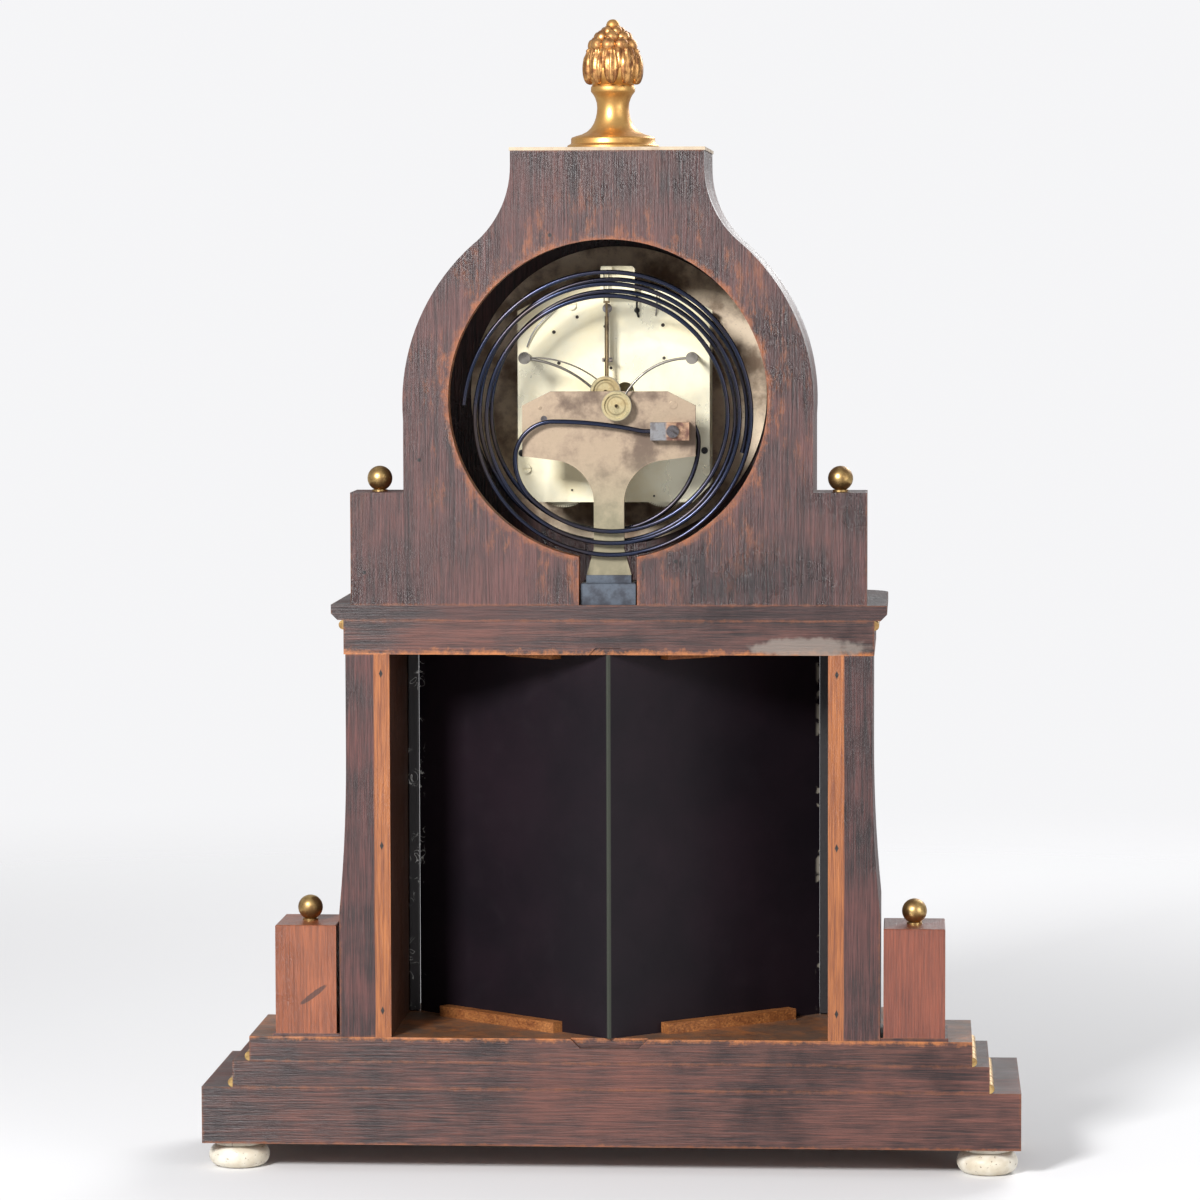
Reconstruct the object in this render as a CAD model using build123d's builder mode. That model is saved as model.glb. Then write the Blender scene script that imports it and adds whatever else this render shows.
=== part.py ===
"""Portico clock with a mirror niche, a round-holed head, a pendulum movement and two gongs.

Frame: millimetres, Z up, the dial faces -Y. The origin lies on the floor, midway between the two
sides and midway between the back plane and the foremost edge of the plinth.
"""

import os
from math import atan2, cos, degrees, pi, radians, sin, tan

from build123d import *

os.makedirs("parts", exist_ok=True)

# Shared clearances
joint_gap = 0.3  # between curved faces of different bodies
running_gap = 0.05  # radial play of a pivot or shaft in its hole

# Base: four bun feet and three stacked boards
foot_height = 13.0
foot_radius = 14.2
foot_collar_radius = 11.0
foot_collar_height = 2.4
foot_inset_x = 15.3
foot_inset_y = 16.0

plinth_width = 380.6
plinth_depth = 100.0
plinth_height = 26.6
plinth_break_width = 290.0
plinth_break_depth = 118.0

lower_step_width = 351.4
lower_step_depth = 74.0
lower_step_height = 12.4
lower_break_width = 268.0
lower_break_depth = 110.0

upper_step_width = 335.4
upper_step_depth = 64.0
upper_step_height = 11.5
upper_break_width = 256.0
upper_break_depth = 103.0

step_edge_radius = 2.0
floor_notch_width = 36.0
floor_notch_height = 4.5
floor_notch_depth = 3.0

bead_height = 4.4
bead_thickness = 2.2

# Lower case: posts, pedestals, mirror niche
post_outer = 121.6
post_foot_outer = 125.2
post_inner = 101.2
post_depth = 80.0
post_flare_start = 58.0
post_flare_end = 131.0
post_height = 178.4
stile_inner = 96.6
stile_thickness = 6.0

pedestal_width = 28.4
pedestal_height = 50.6
pedestal_depth = 37.6
pedestal_gap = 1.6
slip_height = 1.6
slip_margin = 1.4

mirror_thickness = 3.0
mirror_end_x = 95.8
mirror_end_depth = 79.4
mirror_inset = 0.8

block_length = 75.0
block_width = 6.0
block_height = 5.0
block_offset = 30.0
top_block_length = 30.0
top_block_height = 3.4

column_x = 80.0
column_centre_depth = 90.0
column_radius = 8.0
column_top_radius = 7.0
column_base_height = 11.0
column_base_side = 20.0
column_capital_height = 15.0
column_capital_side = 21.0

# Entablature
frieze_width = 244.8
frieze_depth = 102.0
frieze_height = 15.9
frieze_notch_width = 18.0
frieze_notch_height = 3.3
cornice_width = 256.4
cornice_depth = 108.0
cornice_height = 7.1
cornice_corner_radius = 16.0
cornice_cove = 3.0

# Head
head_depth = 92.0
head_half_width = 94.2
head_top_half_width = 44.4
head_top_above_cornice = 209.9
head_neck_above_cornice = 201.8
ogee_inflection_half_width = 62.0
ogee_inflection_above_cornice = 165.3
ogee_hollow_half_width = 49.2
ogee_hollow_above_cornice = 181.1
ogee_round_half_width = 84.8
ogee_round_above_cornice = 135.1
ogee_foot_above_cornice = 85.1
shoulder_width = 24.7
shoulder_height = 51.8
shoulder_depth = 28.0
back_board_thickness = 10.0
front_board_thickness = 8.0
head_wall_thickness = 6.0
cap_thickness = 1.5
cap_overhang = 0.5
rear_hole_radius = 73.4
rear_hole_above_cornice = 94.4
slot_half_width = 13.4
front_hole_radius = 66.0
movement_above_cornice = 94.4

ball_radius = 5.8
ball_seat_radius = 3.6
ball_seat_height = 0.8
shoulder_ball_x = 106.6

# Finial
finial_height = 60.2
finial_foot_radius = 21.4
finial_stud_radius = 2.5
finial_nut_flats = 9.0
finial_nut_height = 4.0

# Gongs on their bracket
gong_block_width = 25.2
gong_block_height = 10.0
gong_block_front = 3.0
gong_block_depth = 24.0
gong_pad_height = 3.4
gong_pad_front = 6.5
gong_pad_depth = 11.0
bracket_rear_depth = 9.0
bracket_thickness = 4.0
bracket_half_width = 40.0
bracket_stem_half_width = 7.0
bracket_foot_half_width = 10.4
bracket_height = 84.6
bracket_body_height = 29.8
bracket_corner_x = 13.0
bracket_corner_z = 6.5
gong_wire_radius = 1.05
rear_gong_depth = 5.0
front_gong_depth = 18.0
gong_start_x = 19.5
gong_start_height = 66.4
gong_lead_bend = 14.0
gong_start_slope = 12.0
gong_start_bend = 192.0
rear_gong_reach = 43.0
front_gong_reach = 41.0
rear_gong_shift = 1.5
front_gong_shift = 0.5
rear_gong_first_radius = 53.5
front_gong_first_radius = 54.5
rear_gong_quarters = 10
front_gong_quarters = 7
rear_gong_last_angle = 83.0
front_gong_last_angle = 14.0
front_gong_rise = 5.5
gong_bottom_height = 20.3
gong_turn_growth = 1.35
clamp_length = 17.9
clamp_height = 8.2
rear_clamp_thickness = 6.5
front_clamp_thickness = 7.6
clamp_screw_offset = 10.4
screw_radius = 1.5
screw_head_radius = 2.9
screw_head_height = 1.6
screw_slot_width = 0.8

# Movement
plate_thickness = 2.0
plate_half_width = 45.0
plate_below = 49.2
plate_shoulder_above = 40.2
plate_rise = 12.0
plate_corner = 8.0
back_plate_depth = 45.0
front_plate_depth = 73.0
pillar_radius = 2.4
pillar_tenon_radius = 1.4
pillar_nut_radius = 2.2
pillar_nut_height = 1.4
pillar_low_x = 41.0
pillar_low_z = -33.6
pillar_high_x = 19.6
pillar_high_z = 43.0
pivot_radius = 0.9
arbor_radius = 1.2
centre_arbor_radius = 1.2
anchor_arbor_radius = 1.2
barrel_x = 23.8
barrel_z = -37.2
barrel_radius = 12.6
barrel_depth = 52.0
barrel_length = 14.0
barrel_wheel_radius = 14.6
barrel_wheel_depth = 49.5
barrel_wheel_thickness = 2.0
barrel_pivot_radius = 1.4
barrel_arbor_radius = 2.2
winding_square = 3.4
winding_square_rise = 1.4
winding_hole_radius = 3.6
access_hole_radius = 4.2
access_hole_x = -5.4
access_hole_z = 2.8

# Wheel train between the plates, from the barrel to the escape wheel
wheel_thickness = 1.5
intermediate_x = -14.4
intermediate_z = -17.0
intermediate_small_radius = 7.4
intermediate_wheel_radius = 19.6
intermediate_wheel_depth = 68.5
centre_pinion_radius = 2.4
centre_wheel_radius = 15.0
centre_wheel_depth = 55.0
third_x = 10.0
third_z = 14.5
third_pinion_radius = 2.2
third_wheel_radius = 11.0
third_wheel_depth = 60.0
escape_x = 2.6
escape_z = 25.0
escape_pinion_radius = 1.5
escape_wheel_radius = 8.0
escape_wheel_depth = 64.0
anchor_z = 41.5
anchor_thickness = 2.0

# Motion work before the front plate
cannon_pinion_radius = 3.1
minute_wheel_radius = 10.1
minute_wheel_x = -9.5
minute_wheel_z = 9.6
minute_pinion_radius = 2.5
hour_wheel_radius = 10.7
hour_wheel_lift = 3.2
motion_work_gap = 0.5
hour_pipe_radius = 2.5

dial_pan_thickness = 1.5
dial_pan_radius = 70.5
dial_pan_hole_radius = 4.0
dial_foot_radius = 2.0
dial_seat_height = 2.8
dial_seat_radius = 64.0
dial_seat_width = 4.0
dial_radius = 65.2
dial_thickness = 1.2
dial_hole_radius = 3.4
bezel_inner_radius = 61.0
bezel_width = 13.0
bezel_thickness = 9.7
bezel_knob_radius = 2.0
glass_lap = 2.5
glass_thickness = 2.0
glass_lip = 2.6
glass_play = 0.2
hand_thickness = 0.6
hand_clearance = 0.9
hour_hand_length = 36.0
hour_hand_angle = 305.0
minute_hand_length = 54.0
minute_hand_angle = 60.0
hinge_knuckle_radius = 1.9
hinge_pin_radius = 0.8
hinge_knuckle_length = 10.0
hinge_end_length = 7.7
hinge_leaf_width = 8.0
hinge_leaf_thickness = 0.8

pendulum_x = 2.6
pendulum_depth = 36.0
suspension_above_movement = 58.8
pendulum_length = 70.8
rod_radius = 0.95
rod_top_above_movement = 38.0
bob_radius = 10.0
bob_thickness = 6.0
bob_edge_half_thickness = 0.4
bob_swell_radius = 7.0
bob_swell_half_thickness = 1.86
hook_height = 1.0
hook_width = 1.2
cock_back_depth = 38.0
cock_width = 16.0
cock_height = 13.6
cock_offset = 5.0
cock_drop = 4.4
cock_chamfer = 1.2
tongue_width = 5.0
tongue_height = 2.4
tongue_length = 6.0

great_wheel_teeth = 84
intermediate_wheel_teeth = 80
intermediate_small_teeth = 42
centre_wheel_teeth = 68
third_wheel_teeth = 66
escape_wheel_teeth = 30
minute_wheel_teeth = 42
hour_wheel_teeth = 40
arbor_play = 0.3
pivot_overlap = 0.5
pinion_overhang = 0.5
arbor_cap_height = 1.2
arbor_cap_rim = 0.6
dial_foot_places = ((-36.0, 22.0), (36.0, 22.0), (0.0, -44.0))
hand_half_width = 0.9
hand_waist_half_width = 0.55
hammer_head_rim = 1.4
hammer_pin_radius = 0.9
hammer_dish_depth = 1.2
knob_stem_radius = 0.9
knob_stem_length = 3.0
knob_overhang = 2.4
knob_root = 1.5
fork_length = 5.6
thread_radius = 0.25
thread_spacing = 2.3
crutch_depth = 40.4
crutch_thickness = 1.0
crutch_length = 24.0
fork_gap = 0.45
fork_pin_radius = 0.5

# Hammers
hammer_wire_radius = 0.6
hammer_arbor_radius = 1.1
hammer_collar_radius = 2.8
hammer_collar_length = 5.0
hammer_head_radius = 7.0
hammer_head_thickness = 4.0
hammer_tail_length = 10.0
hammer_tail_depth = 48.4
hammer_tail_thickness = 1.2
rear_hammer_x = -38.6
rear_hammer_z = 19.0
rear_head_x = -3.9
rear_head_z = -2.9
front_hammer_x = 39.5
front_hammer_z = 18.8
front_head_x = 2.0
front_head_z = 3.4

# Heights of the stacked pieces
plinth_z = foot_height
lower_step_z = plinth_z + plinth_height
upper_step_z = lower_step_z + lower_step_height
niche_floor_z = upper_step_z + upper_step_height
frieze_z = niche_floor_z + post_height
cornice_z = frieze_z + frieze_height
head_z = cornice_z + cornice_height
movement_z = head_z + movement_above_cornice
head_top_z = head_z + head_top_above_cornice

# The back plane stands half of the overall depth behind the origin
overall_depth = plinth_break_depth
back_y = overall_depth / 2


def depth_y(depth):
    """Y of what lies this far in front of the back plane."""
    return back_y - depth


def upright(depth):
    """Upright sketch plane this far in front of the back plane. Extruding goes forward."""
    return Plane.XZ.offset(-depth_y(depth))


def standing(x, depth, z):
    """Upright plane whose origin is this point, for turned pieces with a vertical axis."""
    return Plane(origin=(x, depth_y(depth), z), x_dir=(1, 0, 0), z_dir=(0, -1, 0))


def axle(x, z):
    """Axis through this point of the front view, along the depth."""
    return Axis((x, 0, z), (0, -1, 0))


def save(piece, name):
    """Label a finished piece and write it to its own file."""
    piece.part.label = name
    export_step(piece.part, f"parts/{name}.step")
    return piece


def turned(profile, x, depth, z):
    """Piece turned about a vertical axis from (radius, height) points."""
    plane = standing(x, depth, z)
    with BuildPart() as piece:
        with BuildSketch(plane):
            with BuildLine():
                Polyline((0, profile[0][1]), *profile, (0, profile[-1][1]), close=True)
            make_face()
        revolve(axis=Axis((x, depth_y(depth), z), (0, 0, 1)))
    return piece


def both_sides(name):
    """The two sides of the clock as (name, sign of X), left and right as seen from the front."""
    return ((f"{name}_left", -1), (f"{name}_right", 1))


# Bun feet: a flat bun under a narrower collar
def foot_profile():
    """Half outline of a foot, with the bun's side as a half round."""
    bun_height = foot_height - foot_collar_height
    flat_radius = foot_radius - bun_height / 2
    with BuildLine() as outline:
        Line((0, 0), (flat_radius, 0))
        ThreePointArc((flat_radius, 0), (foot_radius, bun_height / 2), (flat_radius, bun_height))
        Line((flat_radius, bun_height), (foot_collar_radius, bun_height))
        Line((foot_collar_radius, bun_height), (foot_collar_radius, foot_height))
        Line((foot_collar_radius, foot_height), (0, foot_height))
        Line((0, foot_height), (0, 0))
    return outline


foot_x = plinth_width / 2 - foot_inset_x
foot_outline = foot_profile()
with BuildPart() as bun_feet:
    for foot_side in (-1, 1):
        for foot_depth in (foot_inset_y, plinth_depth - foot_inset_y):
            with BuildSketch(standing(foot_side * foot_x, foot_depth, 0)):
                add(foot_outline.line)
                make_face()
            revolve(axis=Axis((foot_side * foot_x, depth_y(foot_depth), 0), (0, 0, 1)))
save(bun_feet, "bun_feet")


# Base boards: each has a middle that stands forward of its ends
def stepped_board(width, depth, break_width, break_depth, height, z):
    """Board with a rounded upper edge along its middle front."""
    with BuildPart() as board:
        with BuildSketch(Plane.XY.offset(z)):
            with Locations((0, depth_y(depth / 2))):
                Rectangle(width, depth)
            with Locations((0, depth_y(break_depth / 2))):
                Rectangle(break_width, break_depth)
        extrude(amount=height)
        front_edges = board.faces().sort_by(Axis.Y)[0].edges().filter_by(Axis.X)
        fillet(front_edges.sort_by(Axis.Z)[-1], step_edge_radius)
    return board


plinth = stepped_board(
    plinth_width, plinth_depth, plinth_break_width, plinth_break_depth, plinth_height, plinth_z
)
save(plinth, "plinth")

lower_step = stepped_board(
    lower_step_width, lower_step_depth, lower_break_width, lower_break_depth, lower_step_height, lower_step_z
)
save(lower_step, "lower_step")

whole_upper_step = stepped_board(
    upper_step_width, upper_step_depth, upper_break_width, upper_break_depth, upper_step_height, upper_step_z
)
notch_bottom = niche_floor_z - floor_notch_height
with BuildPart() as upper_step:
    add(whole_upper_step.part)
    with BuildSketch(upright(0)):
        with BuildLine():
            Polyline(
                (-floor_notch_width / 2, niche_floor_z),
                (-floor_notch_width / 2 + floor_notch_height, notch_bottom),
                (floor_notch_width / 2 - floor_notch_height, notch_bottom),
                (floor_notch_width / 2, niche_floor_z),
                close=True,
            )
        make_face()
    extrude(amount=floor_notch_depth, mode=Mode.SUBTRACT)
save(upper_step, "upper_step")


# Brass beads: half-round strips round the sides and front, in the corner over a board or under the cornice
def bead_strip(width, depth, break_width, break_depth, z):
    """Solid of one strip that follows a stepped outline."""
    half, half_break = width / 2, break_width / 2
    corners = [(half, 0), (half, depth), (half_break, depth), (half_break, break_depth)]
    if break_depth == depth:
        corners = [(half, 0), (half, depth)]
    left = [(-x, depth_y(d), z) for x, d in corners]
    right = [(x, depth_y(d), z) for x, d in reversed(corners)]
    with BuildPart() as strip:
        with BuildLine() as route:
            Polyline(*left, *right)
        with BuildSketch(Plane(origin=left[0], x_dir=(-1, 0, 0), z_dir=(0, 1, 0))):
            with BuildLine():
                Line((0, 0), (0, bead_height))
                ThreePointArc((0, bead_height), (bead_thickness, bead_height / 2), (0, 0))
            make_face()
        sweep(path=route.wires()[0], transition=Transition.RIGHT)
    return strip


lower_bead = bead_strip(
    lower_step_width, lower_step_depth, lower_break_width, lower_break_depth, lower_step_z
)
upper_bead = bead_strip(
    upper_step_width, upper_step_depth, upper_break_width, upper_break_depth, upper_step_z
)
cornice_bead = bead_strip(frieze_width, frieze_depth, frieze_width, frieze_depth, cornice_z - bead_height)
with BuildPart() as bead_trims:
    add(lower_bead.part)
    add(upper_bead.part)
    add(cornice_bead.part)
save(bead_trims, "bead_trims")

# Posts: side walls of the lower case, swept out a little at the foot, with a stile at the front
flare_top_z = niche_floor_z + post_flare_end
flare_foot_z = niche_floor_z + post_flare_start
flare_middle_x = post_outer + (post_foot_outer - post_outer) / 4


def post_outline(side, inner_x):
    """Face of a post in the front view, from inner_x out to the swept side."""
    with BuildSketch() as face:
        with BuildLine():
            Line((side * inner_x, frieze_z), (side * inner_x, niche_floor_z))
            Line((side * inner_x, niche_floor_z), (side * post_foot_outer, niche_floor_z))
            Line((side * post_foot_outer, niche_floor_z), (side * post_foot_outer, flare_foot_z))
            ThreePointArc(
                (side * post_foot_outer, flare_foot_z),
                (side * flare_middle_x, (flare_foot_z + flare_top_z) / 2),
                (side * post_outer, flare_top_z),
            )
            Line((side * post_outer, flare_top_z), (side * post_outer, frieze_z))
            Line((side * post_outer, frieze_z), (side * inner_x, frieze_z))
        make_face()
    return face.sketch


for name, side in both_sides("post"):
    wall_face = post_outline(side, post_inner)
    stile_face = post_outline(side, stile_inner)
    with BuildPart() as post:
        with BuildSketch(upright(0)):
            add(wall_face)
        extrude(amount=post_depth)
        with BuildSketch(upright(post_depth)):
            add(stile_face)
        extrude(amount=stile_thickness)
    save(post, name)

# Pedestals beside the posts, each on a thin slip
pedestal_x = post_foot_outer + pedestal_gap + pedestal_width / 2
pedestal_top_z = niche_floor_z + slip_height + pedestal_height
for name, side in both_sides("pedestal"):
    with BuildPart() as pedestal:
        with BuildSketch(Plane.XY.offset(niche_floor_z + slip_height)):
            with Locations((side * pedestal_x, depth_y(pedestal_depth / 2))):
                Rectangle(pedestal_width, pedestal_depth)
        extrude(amount=pedestal_height)
        chamfer(pedestal.edges().group_by(Axis.Z)[-1], 0.4)
    save(pedestal, name)

with BuildPart() as pedestal_slips:
    with BuildSketch(Plane.XY.offset(niche_floor_z)):
        with Locations(
            (-pedestal_x, depth_y((pedestal_depth + slip_margin) / 2)),
            (pedestal_x, depth_y((pedestal_depth + slip_margin) / 2)),
        ):
            Rectangle(pedestal_width + 2 * slip_margin, pedestal_depth + slip_margin)
    extrude(amount=slip_height)
save(pedestal_slips, "pedestal_slips")


# Brass balls, each on a small seat
def ball_pair(x, depth, z):
    """A ball on each side of the clock."""
    centre_height = ball_seat_height + ball_radius * 0.9
    with BuildPart() as balls:
        for side in (-1, 1):
            with Locations((side * x, depth_y(depth), z + ball_seat_height / 2)):
                Cylinder(ball_seat_radius, ball_seat_height)
            with Locations((side * x, depth_y(depth), z + centre_height)):
                Sphere(ball_radius)
        split(bisect_by=Plane.XY.offset(z), keep=Keep.TOP)
    return balls


pedestal_balls = ball_pair(pedestal_x, pedestal_depth / 2, pedestal_top_z)
save(pedestal_balls, "pedestal_balls")

# Mirror plates: two upright plates that meet in a V at the back plane
mirror_angle = degrees(atan2(mirror_end_depth - mirror_inset, mirror_end_x))
mirror_length = mirror_end_x / cos(radians(mirror_angle))
mirror_height = post_height


def mirror_plane(side):
    """Horizontal plane at the niche floor, X along the plate from the V's edge, Y towards the back."""
    slope = radians(mirror_angle)
    along = (side * cos(slope), -sin(slope), 0)
    return Plane(origin=(0, depth_y(mirror_inset), niche_floor_z), x_dir=along, z_dir=(0, 0, side))


for name, side in both_sides("mirror"):
    mitre = mirror_thickness * tan(radians(mirror_angle))
    with BuildPart() as mirror_plate:
        with BuildSketch(mirror_plane(side)):
            with BuildLine():
                Polyline(
                    (0, 0),
                    (mirror_length, 0),
                    (mirror_length, -mirror_thickness),
                    (mitre, -mirror_thickness),
                    close=True,
                )
            make_face()
        extrude(amount=side * mirror_height)
    save(mirror_plate, name)

# Glue blocks behind the mirrors, two on the niche floor and two under its ceiling
with BuildPart() as glue_blocks:
    for side in (-1, 1):
        for length, height, drop in (
            (block_length, block_height, 0),
            (top_block_length, top_block_height, post_height - top_block_height),
        ):
            with BuildSketch(mirror_plane(side).offset(side * drop)):
                with BuildLine():
                    Polyline(
                        (block_offset, 0),
                        (block_offset + length, 0),
                        (block_offset + length, block_width),
                        (block_offset, block_width),
                        close=True,
                    )
                make_face()
            extrude(amount=side * height)
save(glue_blocks, "glue_blocks")

# Columns in front of the mirror niche: turned base, shaft and capital with a square abacus
shaft_bottom_z = niche_floor_z + column_base_height
shaft_top_z = frieze_z - column_capital_height
column_block_height = 4.0
ring_height = 3.5
neck_height = 2.0


column_places = [
    (side * column_x, depth_y(column_centre_depth)) for side in (-1, 1)
]


def turned_pair(profile):
    """Pieces turned from (radius, height) points, one at each column."""
    with BuildPart() as pair:
        for side in (-1, 1):
            with BuildSketch(standing(side * column_x, column_centre_depth, 0)):
                with BuildLine():
                    Polyline((0, profile[0][1]), *profile, (0, profile[-1][1]), close=True)
                make_face()
            revolve(axis=Axis((side * column_x, depth_y(column_centre_depth), 0), (0, 0, 1)))
    return pair


base_ring_z = niche_floor_z + column_block_height
base_rings = turned_pair(
    (
        (column_radius + 1.2, base_ring_z),
        (column_radius + 2.0, base_ring_z + ring_height / 2),
        (column_radius + 1.2, base_ring_z + ring_height),
        (column_radius + 0.6, base_ring_z + ring_height + 0.6),
        (column_radius + 1.2, base_ring_z + ring_height + 1.8),
        (column_radius + 0.6, shaft_bottom_z),
    )
)
with BuildPart() as column_bases:
    with BuildSketch(Plane.XY.offset(niche_floor_z)):
        with Locations(*column_places):
            Rectangle(column_base_side, column_base_side)
    extrude(amount=column_block_height)
    add(base_rings.part)
save(column_bases, "column_bases")

abacus_height = 4.0
bell_top_z = frieze_z - abacus_height
bell_waist_z = shaft_top_z + 0.6 * (bell_top_z - shaft_top_z)
capital_rings = turned_pair(
    (
        (column_top_radius + 1.2, shaft_top_z),
        (column_top_radius + 1.2, shaft_top_z + neck_height),
        (column_top_radius + 0.4, shaft_top_z + neck_height),
        (column_top_radius + 0.8, bell_waist_z),
        (column_top_radius + 3.0, bell_top_z),
    )
)
with BuildPart() as column_capitals:
    with BuildSketch(Plane.XY.offset(bell_top_z)):
        with Locations(*column_places):
            Rectangle(column_capital_side, column_capital_side)
    extrude(amount=abacus_height)
    add(capital_rings.part)
save(column_capitals, "column_capitals")

for name, side in both_sides("column"):
    with BuildPart() as column:
        with BuildSketch(standing(side * column_x, column_centre_depth, 0)):
            with BuildLine():
                Line((0, shaft_bottom_z), (column_radius, shaft_bottom_z))
                ThreePointArc(
                    (column_radius, shaft_bottom_z),
                    (column_radius - 0.3, (shaft_bottom_z + shaft_top_z) / 2),
                    (column_top_radius, shaft_top_z),
                )
                Line((column_top_radius, shaft_top_z), (0, shaft_top_z))
                Line((0, shaft_top_z), (0, shaft_bottom_z))
            make_face()
        revolve(axis=Axis((side * column_x, depth_y(column_centre_depth), 0), (0, 0, 1)))
    save(column, name)

# Frieze rail: carried by posts and columns, with a worn notch over the V's edge
with BuildPart() as frieze:
    with BuildSketch(Plane.XY.offset(frieze_z)):
        with Locations((0, depth_y(frieze_depth / 2))):
            Rectangle(frieze_width, frieze_depth)
    extrude(amount=frieze_height)
    with BuildSketch(upright(0)):
        with BuildLine():
            Polyline(
                (-frieze_notch_width / 2, frieze_z),
                (-frieze_notch_width / 2 + frieze_notch_height, frieze_z + frieze_notch_height),
                (frieze_notch_width / 2 - frieze_notch_height, frieze_z + frieze_notch_height),
                (frieze_notch_width / 2, frieze_z),
                close=True,
            )
        make_face()
    extrude(amount=mirror_inset, mode=Mode.SUBTRACT)
save(frieze, "frieze")

# Cornice slab: round front corners and a coved lower edge on the sides and front
with BuildPart() as cornice:
    with BuildSketch(Plane.XY.offset(cornice_z)):
        with Locations((0, depth_y(cornice_depth / 2))):
            Rectangle(cornice_width, cornice_depth)
    extrude(amount=cornice_height)
    fillet(cornice.edges().filter_by(Axis.Z).group_by(Axis.Y)[0], cornice_corner_radius)
    lower_edges = cornice.edges().group_by(Axis.Z)[0]
    chamfer(lower_edges.sort_by(Axis.Y)[:-1], cornice_cove)
save(cornice, "cornice")


# Head: ogee-shouldered boards at back and front, joined by curved side walls
head_board_top_z = head_top_z - cap_thickness
ogee_foot_z = head_z + ogee_foot_above_cornice
with BuildSketch() as head_shape:
    with BuildLine():
        Line((0, head_z), (head_half_width, head_z))
        Line((head_half_width, head_z), (head_half_width, ogee_foot_z))
        ThreePointArc(
            (head_half_width, ogee_foot_z),
            (ogee_round_half_width, head_z + ogee_round_above_cornice),
            (ogee_inflection_half_width, head_z + ogee_inflection_above_cornice),
        )
        ThreePointArc(
            (ogee_inflection_half_width, head_z + ogee_inflection_above_cornice),
            (ogee_hollow_half_width, head_z + ogee_hollow_above_cornice),
            (head_top_half_width, head_z + head_neck_above_cornice),
        )
        Line(
            (head_top_half_width, head_z + head_neck_above_cornice),
            (head_top_half_width, head_board_top_z),
        )
        Line((head_top_half_width, head_board_top_z), (0, head_board_top_z))
        mirror(about=Plane.YZ)
    make_face()

shoulder_top_z = head_z + shoulder_height
rear_hole_z = head_z + rear_hole_above_cornice
with BuildPart() as head_back_board:
    with BuildSketch(upright(0)):
        add(head_shape.sketch)
        with Locations((0, head_z + shoulder_height / 2)):
            Rectangle(2 * (head_half_width + shoulder_width), shoulder_height)
        with Locations((0, rear_hole_z)):
            Circle(rear_hole_radius, mode=Mode.SUBTRACT)
        with Locations((0, (head_z + rear_hole_z) / 2)):
            Rectangle(2 * slot_half_width, rear_hole_z - head_z, mode=Mode.SUBTRACT)
    extrude(amount=back_board_thickness)
save(head_back_board, "head_back_board")

front_board_depth = head_depth - front_board_thickness
with BuildPart() as head_front_board:
    with BuildSketch(upright(front_board_depth)):
        add(head_shape.sketch)
        with Locations((0, movement_z)):
            Circle(front_hole_radius, mode=Mode.SUBTRACT)
    extrude(amount=front_board_thickness)
save(head_front_board, "head_front_board")

wall_depth = front_board_depth - back_board_thickness
cap_hole_radius = finial_stud_radius + running_gap
finial_depth = head_depth / 2
with BuildSketch() as wall_ring:
    add(head_shape.sketch)
    offset(head_shape.sketch, amount=-head_wall_thickness, mode=Mode.SUBTRACT)
    with Locations((0, head_z + head_wall_thickness / 2)):
        Rectangle(2 * (head_half_width - head_wall_thickness), head_wall_thickness, mode=Mode.SUBTRACT)
for name, side in both_sides("head_wall"):
    with BuildPart() as head_wall:
        with BuildSketch(upright(back_board_thickness)):
            add(wall_ring.sketch)
            with Locations((-side * head_half_width, (head_z + head_top_z) / 2)):
                Rectangle(2 * head_half_width, 2 * (head_top_z - head_z), mode=Mode.SUBTRACT)
        extrude(amount=wall_depth)
        with Locations((0, depth_y(finial_depth), head_board_top_z)):
            Hole(cap_hole_radius, depth=2 * head_wall_thickness)
    save(head_wall, name)

with BuildPart() as head_cap:
    with BuildSketch(Plane.XY.offset(head_board_top_z)):
        with Locations((0, depth_y(head_depth / 2))):
            Rectangle(2 * (head_top_half_width + cap_overhang), head_depth)
    extrude(amount=cap_thickness)
    with Locations((0, depth_y(finial_depth), head_top_z)):
        Hole(cap_hole_radius)
save(head_cap, "head_cap")

with BuildPart() as shoulders:
    with BuildSketch(upright(back_board_thickness)):
        for side in (-1, 1):
            with Locations((side * (head_half_width + shoulder_width / 2), head_z + shoulder_height / 2)):
                Rectangle(shoulder_width, shoulder_height)
    extrude(amount=shoulder_depth - back_board_thickness)
save(shoulders, "shoulders")

shoulder_balls = ball_pair(shoulder_ball_x, shoulder_depth / 2, shoulder_top_z)
save(shoulder_balls, "shoulder_balls")

# Finial: turned and cast pine cone whose stud passes through the cap and the head's top walls
stud_length = cap_thickness + head_wall_thickness + finial_nut_height + 2
finial_profile = (
    (finial_stud_radius, -stud_length),
    (finial_stud_radius, 0),
    (finial_foot_radius, 0),
    (finial_foot_radius, 1.4),
    (19.4, 2.2),
    (19.4, 4.4),
    (14.8, 6.4),
    (10.4, 10.0),
    (8.0, 15.0),
    (7.5, 19.6),
    (10.6, 23.0),
    (10.6, 28.6),
    (9.8, 30.0),
    (13.0, 32.6),
    (14.2, 37.0),
    (12.6, 43.0),
    (10.2, 48.0),
    (8.0, 53.0),
    (4.6, 56.4),
    (3.4, 58.8),
    (1.6, finial_height),
)
finial = turned(finial_profile, 0, finial_depth, head_top_z)
save(finial, "finial")

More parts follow.
